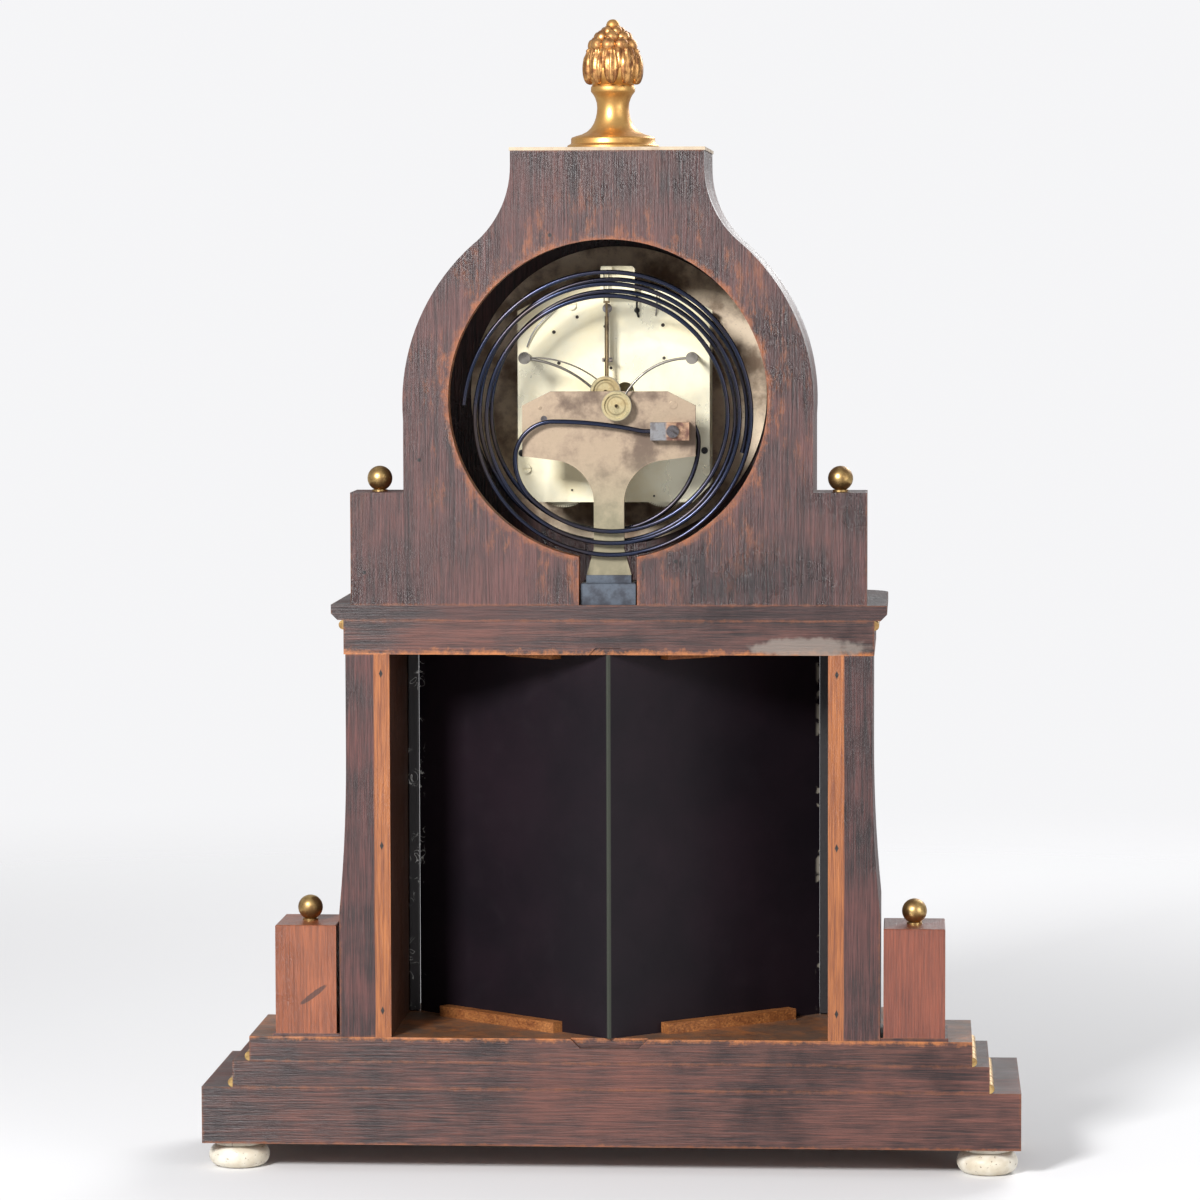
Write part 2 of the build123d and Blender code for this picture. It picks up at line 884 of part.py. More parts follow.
nut_top_z = head_board_top_z - head_wall_thickness
with BuildPart() as finial_nut:
    with BuildSketch(Plane.XY.offset(nut_top_z - finial_nut_height)):
        with Locations((0, depth_y(finial_depth))):
            RegularPolygon(finial_nut_flats / 2, 6, major_radius=False)
            Circle(cap_hole_radius, mode=Mode.SUBTRACT)
    extrude(amount=finial_nut_height)
save(finial_nut, "finial_nut")

# Gong block: steel block on the cornice, with a raised pad under the bracket's foot
gong_pad_z = head_z + gong_block_height
with BuildPart() as gong_block:
    with BuildSketch(Plane.XY.offset(head_z)):
        with Locations((0, depth_y(gong_block_front + gong_block_depth / 2))):
            Rectangle(gong_block_width, gong_block_depth)
    extrude(amount=gong_block_height)
    chamfer(gong_block.edges().group_by(Axis.Z)[-1], 0.5)
    with BuildSketch(Plane.XY.offset(gong_pad_z)):
        with Locations((0, depth_y(gong_pad_front + gong_pad_depth / 2))):
            Rectangle(2 * bracket_foot_half_width, gong_pad_depth)
    extrude(amount=gong_pad_height)
save(gong_block, "gong_block")

# Gong bracket: T-shaped brass plate whose arms sweep down into a stem
bracket_foot_z = gong_pad_z + gong_pad_height
bracket_top_z = bracket_foot_z + bracket_height
bracket_body_z = bracket_top_z - bracket_body_height
sweep_start_x = bracket_stem_half_width + 17
sweep_end_z = bracket_body_z - 21
stem_flare_z = bracket_foot_z + 12
gong_start_z = bracket_foot_z + gong_start_height
clamp_x = gong_start_x + clamp_screw_offset
with BuildSketch() as bracket_shape:
    with BuildLine():
        Line((0, bracket_top_z), (bracket_half_width - bracket_corner_x, bracket_top_z))
        Line(
            (bracket_half_width - bracket_corner_x, bracket_top_z),
            (bracket_half_width, bracket_top_z - bracket_corner_z),
        )
        Line((bracket_half_width, bracket_top_z - bracket_corner_z), (bracket_half_width, bracket_body_z))
        Line((bracket_half_width, bracket_body_z), (sweep_start_x, bracket_body_z - 2))
        ThreePointArc(
            (sweep_start_x, bracket_body_z - 2),
            (bracket_stem_half_width + 5, bracket_body_z - 8.5),
            (bracket_stem_half_width, sweep_end_z),
        )
        Line((bracket_stem_half_width, sweep_end_z), (bracket_stem_half_width, stem_flare_z))
        Line((bracket_stem_half_width, stem_flare_z), (bracket_foot_half_width, bracket_foot_z))
        Line((bracket_foot_half_width, bracket_foot_z), (0, bracket_foot_z))
        mirror(about=Plane.YZ)
    make_face()
screw_hole_radius = screw_radius + running_gap
rear_screw_place = (-clamp_x, gong_start_z)
front_screw_place = (clamp_x, gong_start_z + front_gong_rise)
with BuildPart() as gong_bracket:
    with BuildSketch(upright(bracket_rear_depth)):
        add(bracket_shape.sketch)
        with Locations(rear_screw_place, front_screw_place):
            Circle(screw_hole_radius, mode=Mode.SUBTRACT)
    extrude(amount=bracket_thickness)
save(gong_bracket, "gong_bracket")


# Gongs: each a blued steel wire that leaves its clamp, sweeps down and then coils outward
def gong_route(side, rise, reach, shift, first_radius, quarters, last_angle):
    """Route in the front view of a gong that leaves its clamp towards side."""
    start_z = gong_start_z + rise
    slope = radians(gong_start_slope)
    straight = 2 * gong_wire_radius
    crest_x = straight - gong_start_x + (gong_lead_bend + gong_start_bend) * sin(slope)
    crest_z = start_z + (gong_lead_bend + gong_start_bend) * (1 - cos(slope))
    turn_radius = reach - crest_x
    drop = crest_z - turn_radius - (bracket_foot_z + gong_bottom_height)
    across = reach + shift
    bend = cos(radians(45))
    tight_radius = (bend * drop - (1 - bend) * across) / (2 * bend - 1)
    wide_radius = (bend * across - (1 - bend) * drop) / (2 * bend - 1)
    arcs = [
        (gong_lead_bend, -gong_start_slope),
        (gong_start_bend, gong_start_slope),
        (turn_radius, 90),
        (tight_radius, 45),
        (wide_radius, 45),
    ]
    arcs += [(first_radius + gong_turn_growth * turn, 90) for turn in range(quarters)]
    arcs.append((first_radius + gong_turn_growth * quarters, last_angle))
    start = Vector(-side * gong_start_x, start_z)
    with BuildLine() as route:
        piece = Line(start, start + Vector(side * straight, 0))
        for radius, angle in arcs:
            piece = JernArc(piece @ 1, piece % 1, radius, -side * angle)
        Line(piece @ 1, piece @ 1 + (piece % 1) * straight)
    return route.wires()[0]


def least_gap(route, name):
    """Print the least gap between turns of a gong, measured on points along its route."""
    count = 600
    points = [route @ (step / count) for step in range(count + 1)]
    apart = int(count * 12 * gong_wire_radius / route.length)
    gaps = [
        (points[i] - points[j]).length for i in range(count) for j in range(i + apart, count + 1)
    ]
    print(f"{name}: length {route.length:.0f} mm, least gap {min(gaps) - 2 * gong_wire_radius:.2f} mm")


gongs = (
    (
        "rear_gong",
        rear_gong_depth,
        (1, 0, rear_gong_reach, rear_gong_shift),
        (rear_gong_first_radius, rear_gong_quarters, rear_gong_last_angle),
    ),
    (
        "front_gong",
        front_gong_depth,
        (-1, front_gong_rise, front_gong_reach, front_gong_shift),
        (front_gong_first_radius, front_gong_quarters, front_gong_last_angle),
    ),
)
for name, depth, lead, turns in gongs:
    flat_route = gong_route(*lead, *turns)
    least_gap(flat_route, name)
    gong_path = flat_route.moved(upright(depth).location)
    with BuildPart() as gong:
        with BuildSketch(Plane(origin=gong_path @ 0, z_dir=gong_path % 0)):
            Circle(gong_wire_radius)
        sweep(path=gong_path)
    save(gong, name)

# Gong clamps: small steel blocks screwed to the two faces of the bracket
bracket_front_depth = bracket_rear_depth + bracket_thickness
rear_clamp_depth = bracket_rear_depth - rear_clamp_thickness
clamp_centre_x = gong_start_x + clamp_length / 2
clamps = (
    ("rear_clamp", -clamp_centre_x, gong_start_z, rear_clamp_depth, rear_clamp_thickness, rear_screw_place),
    (
        "front_clamp",
        clamp_centre_x,
        gong_start_z + front_gong_rise,
        bracket_front_depth,
        front_clamp_thickness,
        front_screw_place,
    ),
)
for name, x, z, depth, thickness, screw_place in clamps:
    with BuildPart() as clamp:
        with BuildSketch(upright(depth)):
            with Locations((x, z)):
                Rectangle(clamp_length, clamp_height)
            with Locations(screw_place):
                Circle(screw_hole_radius, mode=Mode.SUBTRACT)
        extrude(amount=thickness)
    save(clamp, name)

front_clamp_face = bracket_front_depth + front_clamp_thickness
with BuildPart() as clamp_screws:
    with BuildSketch(upright(rear_clamp_depth)):
        with Locations(rear_screw_place):
            Circle(screw_radius)
    extrude(amount=bracket_front_depth - rear_clamp_depth)
    with BuildSketch(upright(bracket_rear_depth)):
        with Locations(front_screw_place):
            Circle(screw_radius)
    extrude(amount=front_clamp_face - bracket_rear_depth)
    for screw_place, head_depth_start in (
        (rear_screw_place, rear_clamp_depth - screw_head_height),
        (front_screw_place, front_clamp_face),
    ):
        with BuildSketch(upright(head_depth_start)):
            with Locations(screw_place):
                Circle(screw_head_radius)
        extrude(amount=screw_head_height)
    with BuildSketch(upright(rear_clamp_depth - screw_head_height)):
        with Locations(Location((*rear_screw_place, 0), (0, 0, 30))):
            Rectangle(2 * screw_head_radius, screw_slot_width)
    extrude(amount=screw_head_height / 2, mode=Mode.SUBTRACT)
save(clamp_screws, "clamp_screws")


# Movement plates: straight sides, cut lower corners, a low arch above
def from_dial(x, z):
    """Point of the front view given from the dial's centre."""
    return (x, movement_z + z)


with BuildSketch() as plate_shape:
    with BuildLine():
        Line(from_dial(0, -plate_below), from_dial(plate_half_width - plate_corner, -plate_below))
        Line(
            from_dial(plate_half_width - plate_corner, -plate_below),
            from_dial(plate_half_width, plate_corner - plate_below),
        )
        Line(
            from_dial(plate_half_width, plate_corner - plate_below),
            from_dial(plate_half_width, plate_shoulder_above),
        )
        ThreePointArc(
            from_dial(plate_half_width, plate_shoulder_above),
            from_dial(0, plate_shoulder_above + plate_rise),
            from_dial(-plate_half_width, plate_shoulder_above),
        )
        Line(
            from_dial(-plate_half_width, plate_shoulder_above),
            from_dial(-plate_half_width, plate_corner - plate_below),
        )
        Line(
            from_dial(-plate_half_width, plate_corner - plate_below),
            from_dial(plate_corner - plate_half_width, -plate_below),
        )
        Line(from_dial(plate_corner - plate_half_width, -plate_below), from_dial(0, -plate_below))
    make_face()

pillar_places = [from_dial(side * pillar_low_x, pillar_low_z) for side in (-1, 1)]
pillar_places += [from_dial(side * pillar_high_x, pillar_high_z) for side in (-1, 1)]
barrel_places = [from_dial(side * barrel_x, barrel_z) for side in (-1, 1)]
train_places = [
    from_dial(0, 0),
    from_dial(intermediate_x, intermediate_z),
    from_dial(third_x, third_z),
    from_dial(escape_x, escape_z),
]
hammer_places = [from_dial(rear_hammer_x, rear_hammer_z), from_dial(front_hammer_x, front_hammer_z)]
anchor_place = from_dial(pendulum_x, anchor_z)
minute_wheel_place = from_dial(minute_wheel_x, minute_wheel_z)
back_plate_front = back_plate_depth + plate_thickness
front_plate_front = front_plate_depth + plate_thickness
dial_pan_front = front_board_depth
dial_front_depth = dial_pan_front + dial_seat_height + dial_thickness

with BuildPart() as back_plate:
    with BuildSketch(upright(back_plate_depth)):
        add(plate_shape.sketch)
        with Locations(*train_places):
            Circle(pivot_radius + running_gap, mode=Mode.SUBTRACT)
        with Locations(*barrel_places):
            Circle(barrel_pivot_radius + running_gap, mode=Mode.SUBTRACT)
        with Locations(*hammer_places):
            Circle(hammer_arbor_radius + running_gap, mode=Mode.SUBTRACT)
        with Locations(anchor_place):
            Circle(anchor_arbor_radius + running_gap, mode=Mode.SUBTRACT)
        with Locations(*pillar_places):
            Circle(pillar_tenon_radius, mode=Mode.SUBTRACT)
        with Locations(from_dial(access_hole_x, access_hole_z)):
            Circle(access_hole_radius, mode=Mode.SUBTRACT)
    extrude(amount=plate_thickness)
save(back_plate, "back_plate")

with BuildPart() as front_plate:
    with BuildSketch(upright(front_plate_depth)):
        add(plate_shape.sketch)
        with Locations(train_places[0]):
            Circle(centre_arbor_radius + running_gap, mode=Mode.SUBTRACT)
        with Locations(*train_places[1:]):
            Circle(pivot_radius + running_gap, mode=Mode.SUBTRACT)
        with Locations(*barrel_places):
            Circle(barrel_arbor_radius + running_gap, mode=Mode.SUBTRACT)
        with Locations(anchor_place):
            Circle(pivot_radius + running_gap, mode=Mode.SUBTRACT)
        with Locations(*pillar_places):
            Circle(pillar_tenon_radius, mode=Mode.SUBTRACT)
        with Locations(minute_wheel_place):
            Circle(pivot_radius + running_gap, mode=Mode.SUBTRACT)
    extrude(amount=plate_thickness)
save(front_plate, "front_plate")

# Pillars: turned posts between the plates, with tenons and nuts behind and before the plates
with BuildPart() as pillars:
    with BuildSketch(upright(back_plate_front)):
        with Locations(*pillar_places):
            Circle(pillar_radius)
    extrude(amount=front_plate_depth - back_plate_front)
    with BuildSketch(upright(back_plate_depth - pillar_nut_height)):
        with Locations(*pillar_places):
            Circle(pillar_nut_radius)
    extrude(amount=pillar_nut_height)
    with BuildSketch(upright(front_plate_front)):
        with Locations(*pillar_places):
            Circle(pillar_nut_radius)
    extrude(amount=pillar_nut_height)
    with BuildSketch(upright(back_plate_depth - pillar_nut_height)):
        with Locations(*pillar_places):
            Circle(pillar_tenon_radius)
    extrude(amount=front_plate_front - back_plate_depth + 2 * pillar_nut_height)
    with BuildSketch(upright(back_plate_depth - pillar_nut_height)):
        with Locations(*pillar_places):
            Rectangle(2 * pillar_nut_radius, screw_slot_width)
    extrude(amount=pillar_nut_height / 2, mode=Mode.SUBTRACT)
save(pillars, "pillars")


# Wheels and arbors of the movement
def wheel_shape(radius, teeth, rim_width, spokes, bore=0.0):
    """Face of a crossed-out wheel of this tip radius, centred on the sketch's origin."""
    tooth_depth = 1.4 * radius / teeth * pi
    root_radius = radius - tooth_depth
    tooth_width = radius * pi / teeth
    with BuildSketch() as wheel:
        Circle(root_radius)
        with PolarLocations(radius - tooth_depth / 2 - 0.1, teeth):
            Rectangle(tooth_depth + 0.2, tooth_width)
        if spokes > 0:
            Circle(root_radius - rim_width, mode=Mode.SUBTRACT)
            Circle(2.4 * pivot_radius)
            with PolarLocations((root_radius - rim_width / 2) / 2, spokes):
                Rectangle(root_radius - rim_width / 2, rim_width)
        if bore > 0:
            Circle(bore, mode=Mode.SUBTRACT)
    return wheel.sketch


def arbor_piece(place, discs, faces=()):
    """Piece on one axis along the depth: discs are (radius, depth, length), faces (face, depth, length)."""
    with BuildPart() as piece:
        for radius, depth, length in discs:
            with BuildSketch(upright(depth)):
                with Locations(place):
                    Circle(radius)
            extrude(amount=length)
        for face, depth, length in faces:
            with BuildSketch(upright(depth)):
                with Locations(place):
                    add(face)
            extrude(amount=length)
    return piece


great_wheel = wheel_shape(barrel_wheel_radius, great_wheel_teeth, 0, 0)
winding_end = dial_front_depth + winding_square_rise
for name, place in (("going_barrel", barrel_places[0]), ("strike_barrel", barrel_places[1])):
    with BuildSketch() as square:
        Rectangle(winding_square, winding_square)
    barrel = arbor_piece(
        place,
        (
            (barrel_pivot_radius, back_plate_depth, plate_thickness + 2 * pivot_overlap),
            (
                barrel_arbor_radius,
                back_plate_front + pivot_overlap,
                front_plate_front - back_plate_front - pivot_overlap,
            ),
            (barrel_radius, barrel_depth, barrel_length),
        ),
        (
            (great_wheel, barrel_wheel_depth, barrel_wheel_thickness),
            (square.sketch, front_plate_front, winding_end - front_plate_front),
        ),
    )
    save(barrel, name)


def wheel_arbor(length_start, length_end):
    """Discs of a plain arbor with a pivot in each plate, between these depths."""
    return (
        (pivot_radius, back_plate_depth, plate_thickness + pivot_overlap),
        (arbor_radius, length_start, length_end - length_start),
        (pivot_radius, front_plate_depth - pivot_overlap, plate_thickness + pivot_overlap),
    )


plain_arbor = wheel_arbor(back_plate_front + arbor_play, front_plate_depth - arbor_play)
hour_hand_depth = dial_front_depth + hand_clearance
minute_hand_depth = hour_hand_depth + hand_thickness + hand_clearance
arbor_end_depth = minute_hand_depth + hand_thickness
cannon_depth = front_plate_front + motion_work_gap
hour_wheel_depth = front_plate_front + hour_wheel_lift

centre_arbor = arbor_piece(
    train_places[0],
    (
        (pivot_radius, back_plate_depth, plate_thickness + pivot_overlap),
        (centre_arbor_radius, back_plate_front + arbor_play, arbor_end_depth - back_plate_front - arbor_play),
        (centre_arbor_radius + arbor_cap_rim, arbor_end_depth, arbor_cap_height),
        (centre_pinion_radius, intermediate_wheel_depth - pinion_overhang, wheel_thickness + 2 * pinion_overhang),
        (cannon_pinion_radius, cannon_depth, wheel_thickness - 0.1),
    ),
    ((wheel_shape(centre_wheel_radius, centre_wheel_teeth, 2, 4), centre_wheel_depth, wheel_thickness),),
)
save(centre_arbor, "centre_arbor")

intermediate_wheel = arbor_piece(
    train_places[1],
    plain_arbor,
    (
        (
            wheel_shape(intermediate_wheel_radius, intermediate_wheel_teeth, 2.4, 5),
            intermediate_wheel_depth,
            wheel_thickness,
        ),
        (
            wheel_shape(intermediate_small_radius, intermediate_small_teeth, 0, 0),
            barrel_wheel_depth,
            barrel_wheel_thickness,
        ),
    ),
)
save(intermediate_wheel, "intermediate_wheel")

third_wheel = arbor_piece(
    train_places[2],
    (*plain_arbor, (third_pinion_radius, centre_wheel_depth - pinion_overhang, wheel_thickness + 2 * pinion_overhang)),
    ((wheel_shape(third_wheel_radius, third_wheel_teeth, 1.8, 4), third_wheel_depth, wheel_thickness),),
)
save(third_wheel, "third_wheel")

escape_wheel = arbor_piece(
    train_places[3],
    (*plain_arbor, (escape_pinion_radius, third_wheel_depth - pinion_overhang, wheel_thickness + 2 * pinion_overhang)),
    ((wheel_shape(escape_wheel_radius, escape_wheel_teeth, 1.4, 4), escape_wheel_depth, wheel_thickness),),
)
save(escape_wheel, "escape_wheel")

# Anchor: its arbor passes through the back plate and carries the crutch, whose fork holds the rod
with BuildSketch() as anchor_face:
    with BuildLine():
        Line((0, 2.5), (-9.0, -4.0))
        Line((-9.0, -4.0), (-10.6, -11.0))
        Line((-10.6, -11.0), (-9.2, -12.0))
        Line((-9.2, -12.0), (-7.4, -5.6))
        Line((-7.4, -5.6), (0, -1.8))
        mirror(about=Plane.YZ)
    make_face()
with BuildSketch() as crutch_face:
    Circle(anchor_arbor_radius + 1)
    with Locations((0, -crutch_length / 2)):
        Rectangle(1.6, crutch_length)
    with Locations((0, -crutch_length)):
        Rectangle(2 * (rod_radius + fork_gap + 2 * fork_pin_radius), 2)
fork_pin_x = rod_radius + fork_gap + fork_pin_radius
with BuildSketch() as fork_pins:
    with Locations((-fork_pin_x, -crutch_length), (fork_pin_x, -crutch_length)):
        Circle(fork_pin_radius)
anchor = arbor_piece(
    anchor_place,
    (
        (anchor_arbor_radius, crutch_depth, front_plate_depth - arbor_play - crutch_depth),
        (pivot_radius, front_plate_depth - pivot_overlap, plate_thickness + pivot_overlap),
    ),
    (
        (anchor_face.sketch, escape_wheel_depth - 0.2, anchor_thickness),
        (crutch_face.sketch, crutch_depth, crutch_thickness),
        (fork_pins.sketch, crutch_depth - fork_length, fork_length),
    ),
)
save(anchor, "anchor")

# Suspension cock: block on the back plate with a tongue from which the silk hangs
suspension_z = suspension_above_movement
with BuildPart() as suspension_cock:
    with BuildSketch(upright(cock_back_depth)):
        with Locations(from_dial(pendulum_x - cock_offset, suspension_z - cock_drop)):
            Rectangle(cock_width, cock_height)
    extrude(amount=back_plate_depth - cock_back_depth)
    chamfer(suspension_cock.edges().filter_by(Axis.Y), cock_chamfer)
    with BuildSketch(upright(cock_back_depth - tongue_length + 1)):
        with Locations(from_dial(pendulum_x, suspension_z + tongue_height / 2 - 0.2)):
            Rectangle(tongue_width, tongue_height)
    extrude(amount=tongue_length)
save(suspension_cock, "suspension_cock")

# Pendulum on its silk loop: two threads, a hook, a flat-sided rod and a lens-shaped bob
thread_bottom_z = rod_top_above_movement + 7
with BuildPart() as silk_loop:
    for side in (-1, 1):
        with BuildSketch(Plane.XY.offset(movement_z + thread_bottom_z)):
            with Locations((pendulum_x + side * thread_spacing / 2, depth_y(pendulum_depth))):
                Circle(thread_radius)
        extrude(amount=suspension_z - joint_gap - thread_bottom_z)
save(silk_loop, "silk_loop")

bob_place = from_dial(pendulum_x, suspension_z - pendulum_length)
with BuildPart() as pendulum:
    with BuildSketch(Plane.XY.offset(bob_place[1])):
        with Locations((pendulum_x, depth_y(pendulum_depth))):
            Circle(rod_radius)
    extrude(amount=movement_z + rod_top_above_movement - bob_place[1])
    with BuildSketch(Plane.XY.offset(movement_z + rod_top_above_movement)):
        with Locations((pendulum_x, depth_y(pendulum_depth))):
            Circle(rod_radius * 0.6)
    extrude(amount=thread_bottom_z - rod_top_above_movement - hook_height)
    with BuildSketch(Plane.XY.offset(movement_z + thread_bottom_z - hook_height)):
        with Locations((pendulum_x, depth_y(pendulum_depth))):
            Rectangle(thread_spacing + 2.4 * thread_radius, hook_width)
    extrude(amount=hook_height)
    with BuildSketch(
        Plane(origin=(bob_place[0], depth_y(pendulum_depth), bob_place[1]), x_dir=(1, 0, 0), z_dir=(0, 0, -1))
    ):
        with BuildLine():
            Line((0, -bob_thickness / 2), (0, bob_thickness / 2))
            ThreePointArc(
                (0, bob_thickness / 2),
                (bob_swell_radius, bob_swell_half_thickness),
                (bob_radius, bob_edge_half_thickness),
            )
            Line((bob_radius, bob_edge_half_thickness), (bob_radius, -bob_edge_half_thickness))
            ThreePointArc(
                (bob_radius, -bob_edge_half_thickness),
                (bob_swell_radius, -bob_swell_half_thickness),
                (0, -bob_thickness / 2),
            )
        make_face()
    revolve(axis=axle(*bob_place))
save(pendulum, "pendulum")


# Hammers: an arbor through the back plate, a curved wire arm and a dished brass head over the gong
def hammer(x, z, depth, head_x, head_z, arms):
    """Hammer whose head is centred at this depth. Each arm is (wire radius, start, middle, end)."""
    arbor_end = hammer_tail_depth + hammer_tail_thickness
    collar_depth = depth - hammer_head_thickness / 2
    head_depth_start = depth - hammer_head_thickness / 2
    tail_side = 1 if x < 0 else -1
    with BuildPart() as piece:
        with BuildSketch(upright(collar_depth)):
            with Locations(from_dial(x, z)):
                Circle(hammer_collar_radius)
        extrude(amount=hammer_collar_length)
        with BuildSketch(upright(collar_depth)):
            with Locations(from_dial(x, z)):
                Circle(hammer_arbor_radius)
        extrude(amount=arbor_end - collar_depth)
        with BuildSketch(upright(hammer_tail_depth)):
            with Locations(from_dial(x + tail_side * hammer_tail_length / 2, z)):
                Rectangle(hammer_tail_length, 2 * hammer_arbor_radius)
        extrude(amount=hammer_tail_thickness)
        with BuildSketch(upright(head_depth_start)):
            with Locations(from_dial(head_x, head_z)):
                Circle(hammer_head_radius)
        extrude(amount=hammer_head_thickness)
        with BuildSketch(upright(head_depth_start)):
            with Locations(from_dial(head_x, head_z)):
                Circle(hammer_head_radius - hammer_head_rim)
                Circle(hammer_pin_radius, mode=Mode.SUBTRACT)
        extrude(amount=hammer_dish_depth, mode=Mode.SUBTRACT)
        for wire_radius, start, middle, end in arms:
            with BuildLine(upright(depth)) as arm_path:
                ThreePointArc(from_dial(*start), from_dial(*middle), from_dial(*end))
            arm = arm_path.wires()[0]
            with BuildSketch(Plane(origin=arm @ 0, z_dir=arm % 0)):
                Circle(wire_radius)
            sweep(path=arm)
    return piece


rear_hammer = hammer(
    rear_hammer_x,
    rear_hammer_z,
    rear_gong_depth,
    rear_head_x,
    rear_head_z,
    ((hammer_wire_radius, (-36.4, 18.9), (-20.3, 14.5), (-7.7, 1.9)),),
)
save(rear_hammer, "rear_hammer")

front_hammer = hammer(
    front_hammer_x,
    front_hammer_z,
    front_gong_depth,
    front_head_x,
    front_head_z,
    (
        (hammer_wire_radius, (37.2, 18.4), (21.9, 14.0), (8.0, 4.8)),
        (hammer_wire_radius * 0.6, (37.2, 18.9), (20.5, 16.6), (4.9, 8.1)),
    ),
)
save(front_hammer, "front_hammer")

# Motion work: minute wheel and hour wheel with its pipe
minute_wheel = arbor_piece(
    minute_wheel_place,
    (
        (pivot_radius, front_plate_depth + 0.2, hour_wheel_lift + plate_thickness),
        (minute_pinion_radius, cannon_depth, hour_wheel_lift + wheel_thickness),
    ),
    ((wheel_shape(minute_wheel_radius, minute_wheel_teeth, 1.8, 4), cannon_depth, wheel_thickness - 0.1),),
)
save(minute_wheel, "minute_wheel")

with BuildPart() as hour_wheel:
    with BuildSketch(upright(hour_wheel_depth)):
        with Locations(train_places[0]):
            add(wheel_shape(hour_wheel_radius, hour_wheel_teeth, 0, 0, centre_arbor_radius + running_gap))
    extrude(amount=wheel_thickness - 0.1)
    with BuildSketch(upright(hour_wheel_depth)):
        with Locations(train_places[0]):
            Circle(hour_pipe_radius)
            Circle(centre_arbor_radius + running_gap, mode=Mode.SUBTRACT)
    extrude(amount=hour_hand_depth + hand_thickness - hour_wheel_depth)
save(hour_wheel, "hour_wheel")


# Hands: a hub, a slim blade, a ring before the tip
def hand(length, hub_radius, bore, ring_place, ring_radius, depth, angle):
    """Hand cut from thin steel, pointing this many degrees clockwise from twelve."""
    with BuildSketch() as face:
        with BuildLine():
            Polyline(
                (-hand_half_width, 0),
                (-hand_waist_half_width, ring_place),
                (-hand_half_width, ring_place + ring_radius),
                (0, length),
                (hand_half_width, ring_place + ring_radius),
                (hand_waist_half_width, ring_place),
                (hand_half_width, 0),
                close=True,
            )
        make_face()
        with Locations((0, ring_place)):
            Circle(ring_radius)
            Circle(ring_radius * 0.55, mode=Mode.SUBTRACT)
        Circle(hub_radius)
        Circle(bore, mode=Mode.SUBTRACT)
    with BuildPart() as piece:
        with BuildSketch(upright(depth)):
            with Locations(Location((*train_places[0], 0), (0, 0, -angle))):
                add(face.sketch)
        extrude(amount=hand_thickness)
    return piece


hour_hand = hand(hour_hand_length, 4.0, hour_pipe_radius, 24.0, 3.4, hour_hand_depth, hour_hand_angle)
save(hour_hand, "hour_hand")
minute_hand = hand(
    minute_hand_length, 3.2, centre_arbor_radius, 38.0, 2.8, minute_hand_depth, minute_hand_angle
)
save(minute_hand, "minute_hand")

# Dial pan: brass disc behind the front board, with feet to the movement and a raised seat for the dial
with BuildPart() as dial_pan:
    with BuildSketch(upright(dial_pan_front - dial_pan_thickness)):
        with Locations(train_places[0]):
            Circle(dial_pan_radius)
            Circle(dial_pan_hole_radius, mode=Mode.SUBTRACT)
        with Locations(*barrel_places):
            Circle(winding_hole_radius, mode=Mode.SUBTRACT)
    extrude(amount=dial_pan_thickness)
    with BuildSketch(upright(dial_pan_front)):
        with Locations(train_places[0]):
            Circle(dial_seat_radius)
            Circle(dial_seat_radius - dial_seat_width, mode=Mode.SUBTRACT)
    extrude(amount=dial_seat_height)
    with BuildSketch(upright(front_plate_front)):
        with Locations(*[from_dial(x, z) for x, z in dial_foot_places]):
            Circle(dial_foot_radius)
    extrude(amount=dial_pan_front - dial_pan_thickness - front_plate_front)
save(dial_pan, "dial_pan")

with BuildPart() as dial:
    with BuildSketch(upright(dial_front_depth - dial_thickness)):
        with Locations(train_places[0]):
            Circle(dial_radius)
            Circle(dial_hole_radius, mode=Mode.SUBTRACT)
        with Locations(*barrel_places):
            Circle(winding_hole_radius, mode=Mode.SUBTRACT)
    extrude(amount=dial_thickness)
save(dial, "dial")

# Bezel: turned brass ring with a rebate for the glass, a knob at one side and a hinge at the other
bezel_back = head_depth + joint_gap
bezel_front = bezel_back + bezel_thickness
glass_back = bezel_back + 3.1
glass_front = glass_back + glass_thickness
bezel_outer_radius = bezel_inner_radius + bezel_width
glass_radius = bezel_inner_radius + glass_lap
rebate_radius = glass_radius + glass_play
hinge_x = -(bezel_outer_radius + glass_lip)
hinge_depth = bezel_back + 2.3
knob_depth = bezel_back + 4.5
bezel_section = (
    (rebate_radius + glass_lip, bezel_back),
    (bezel_outer_radius, bezel_back),
    (bezel_outer_radius, bezel_back + 2.4),
    (bezel_outer_radius - 1.5, bezel_back + 5.8),
    (bezel_outer_radius - 5.0, bezel_front - 0.6),
    (bezel_outer_radius - 8.0, bezel_front),
    (bezel_inner_radius + 1.6, bezel_front - 1.4),
    (bezel_inner_radius, glass_front + 1.2),
    (bezel_inner_radius, glass_front),
    (rebate_radius, glass_front),
    (rebate_radius, glass_back),
    (rebate_radius + glass_lip, glass_back),
)
turning_plane = Plane(origin=(0, back_y, movement_z), x_dir=(1, 0, 0), z_dir=(0, 0, -1))
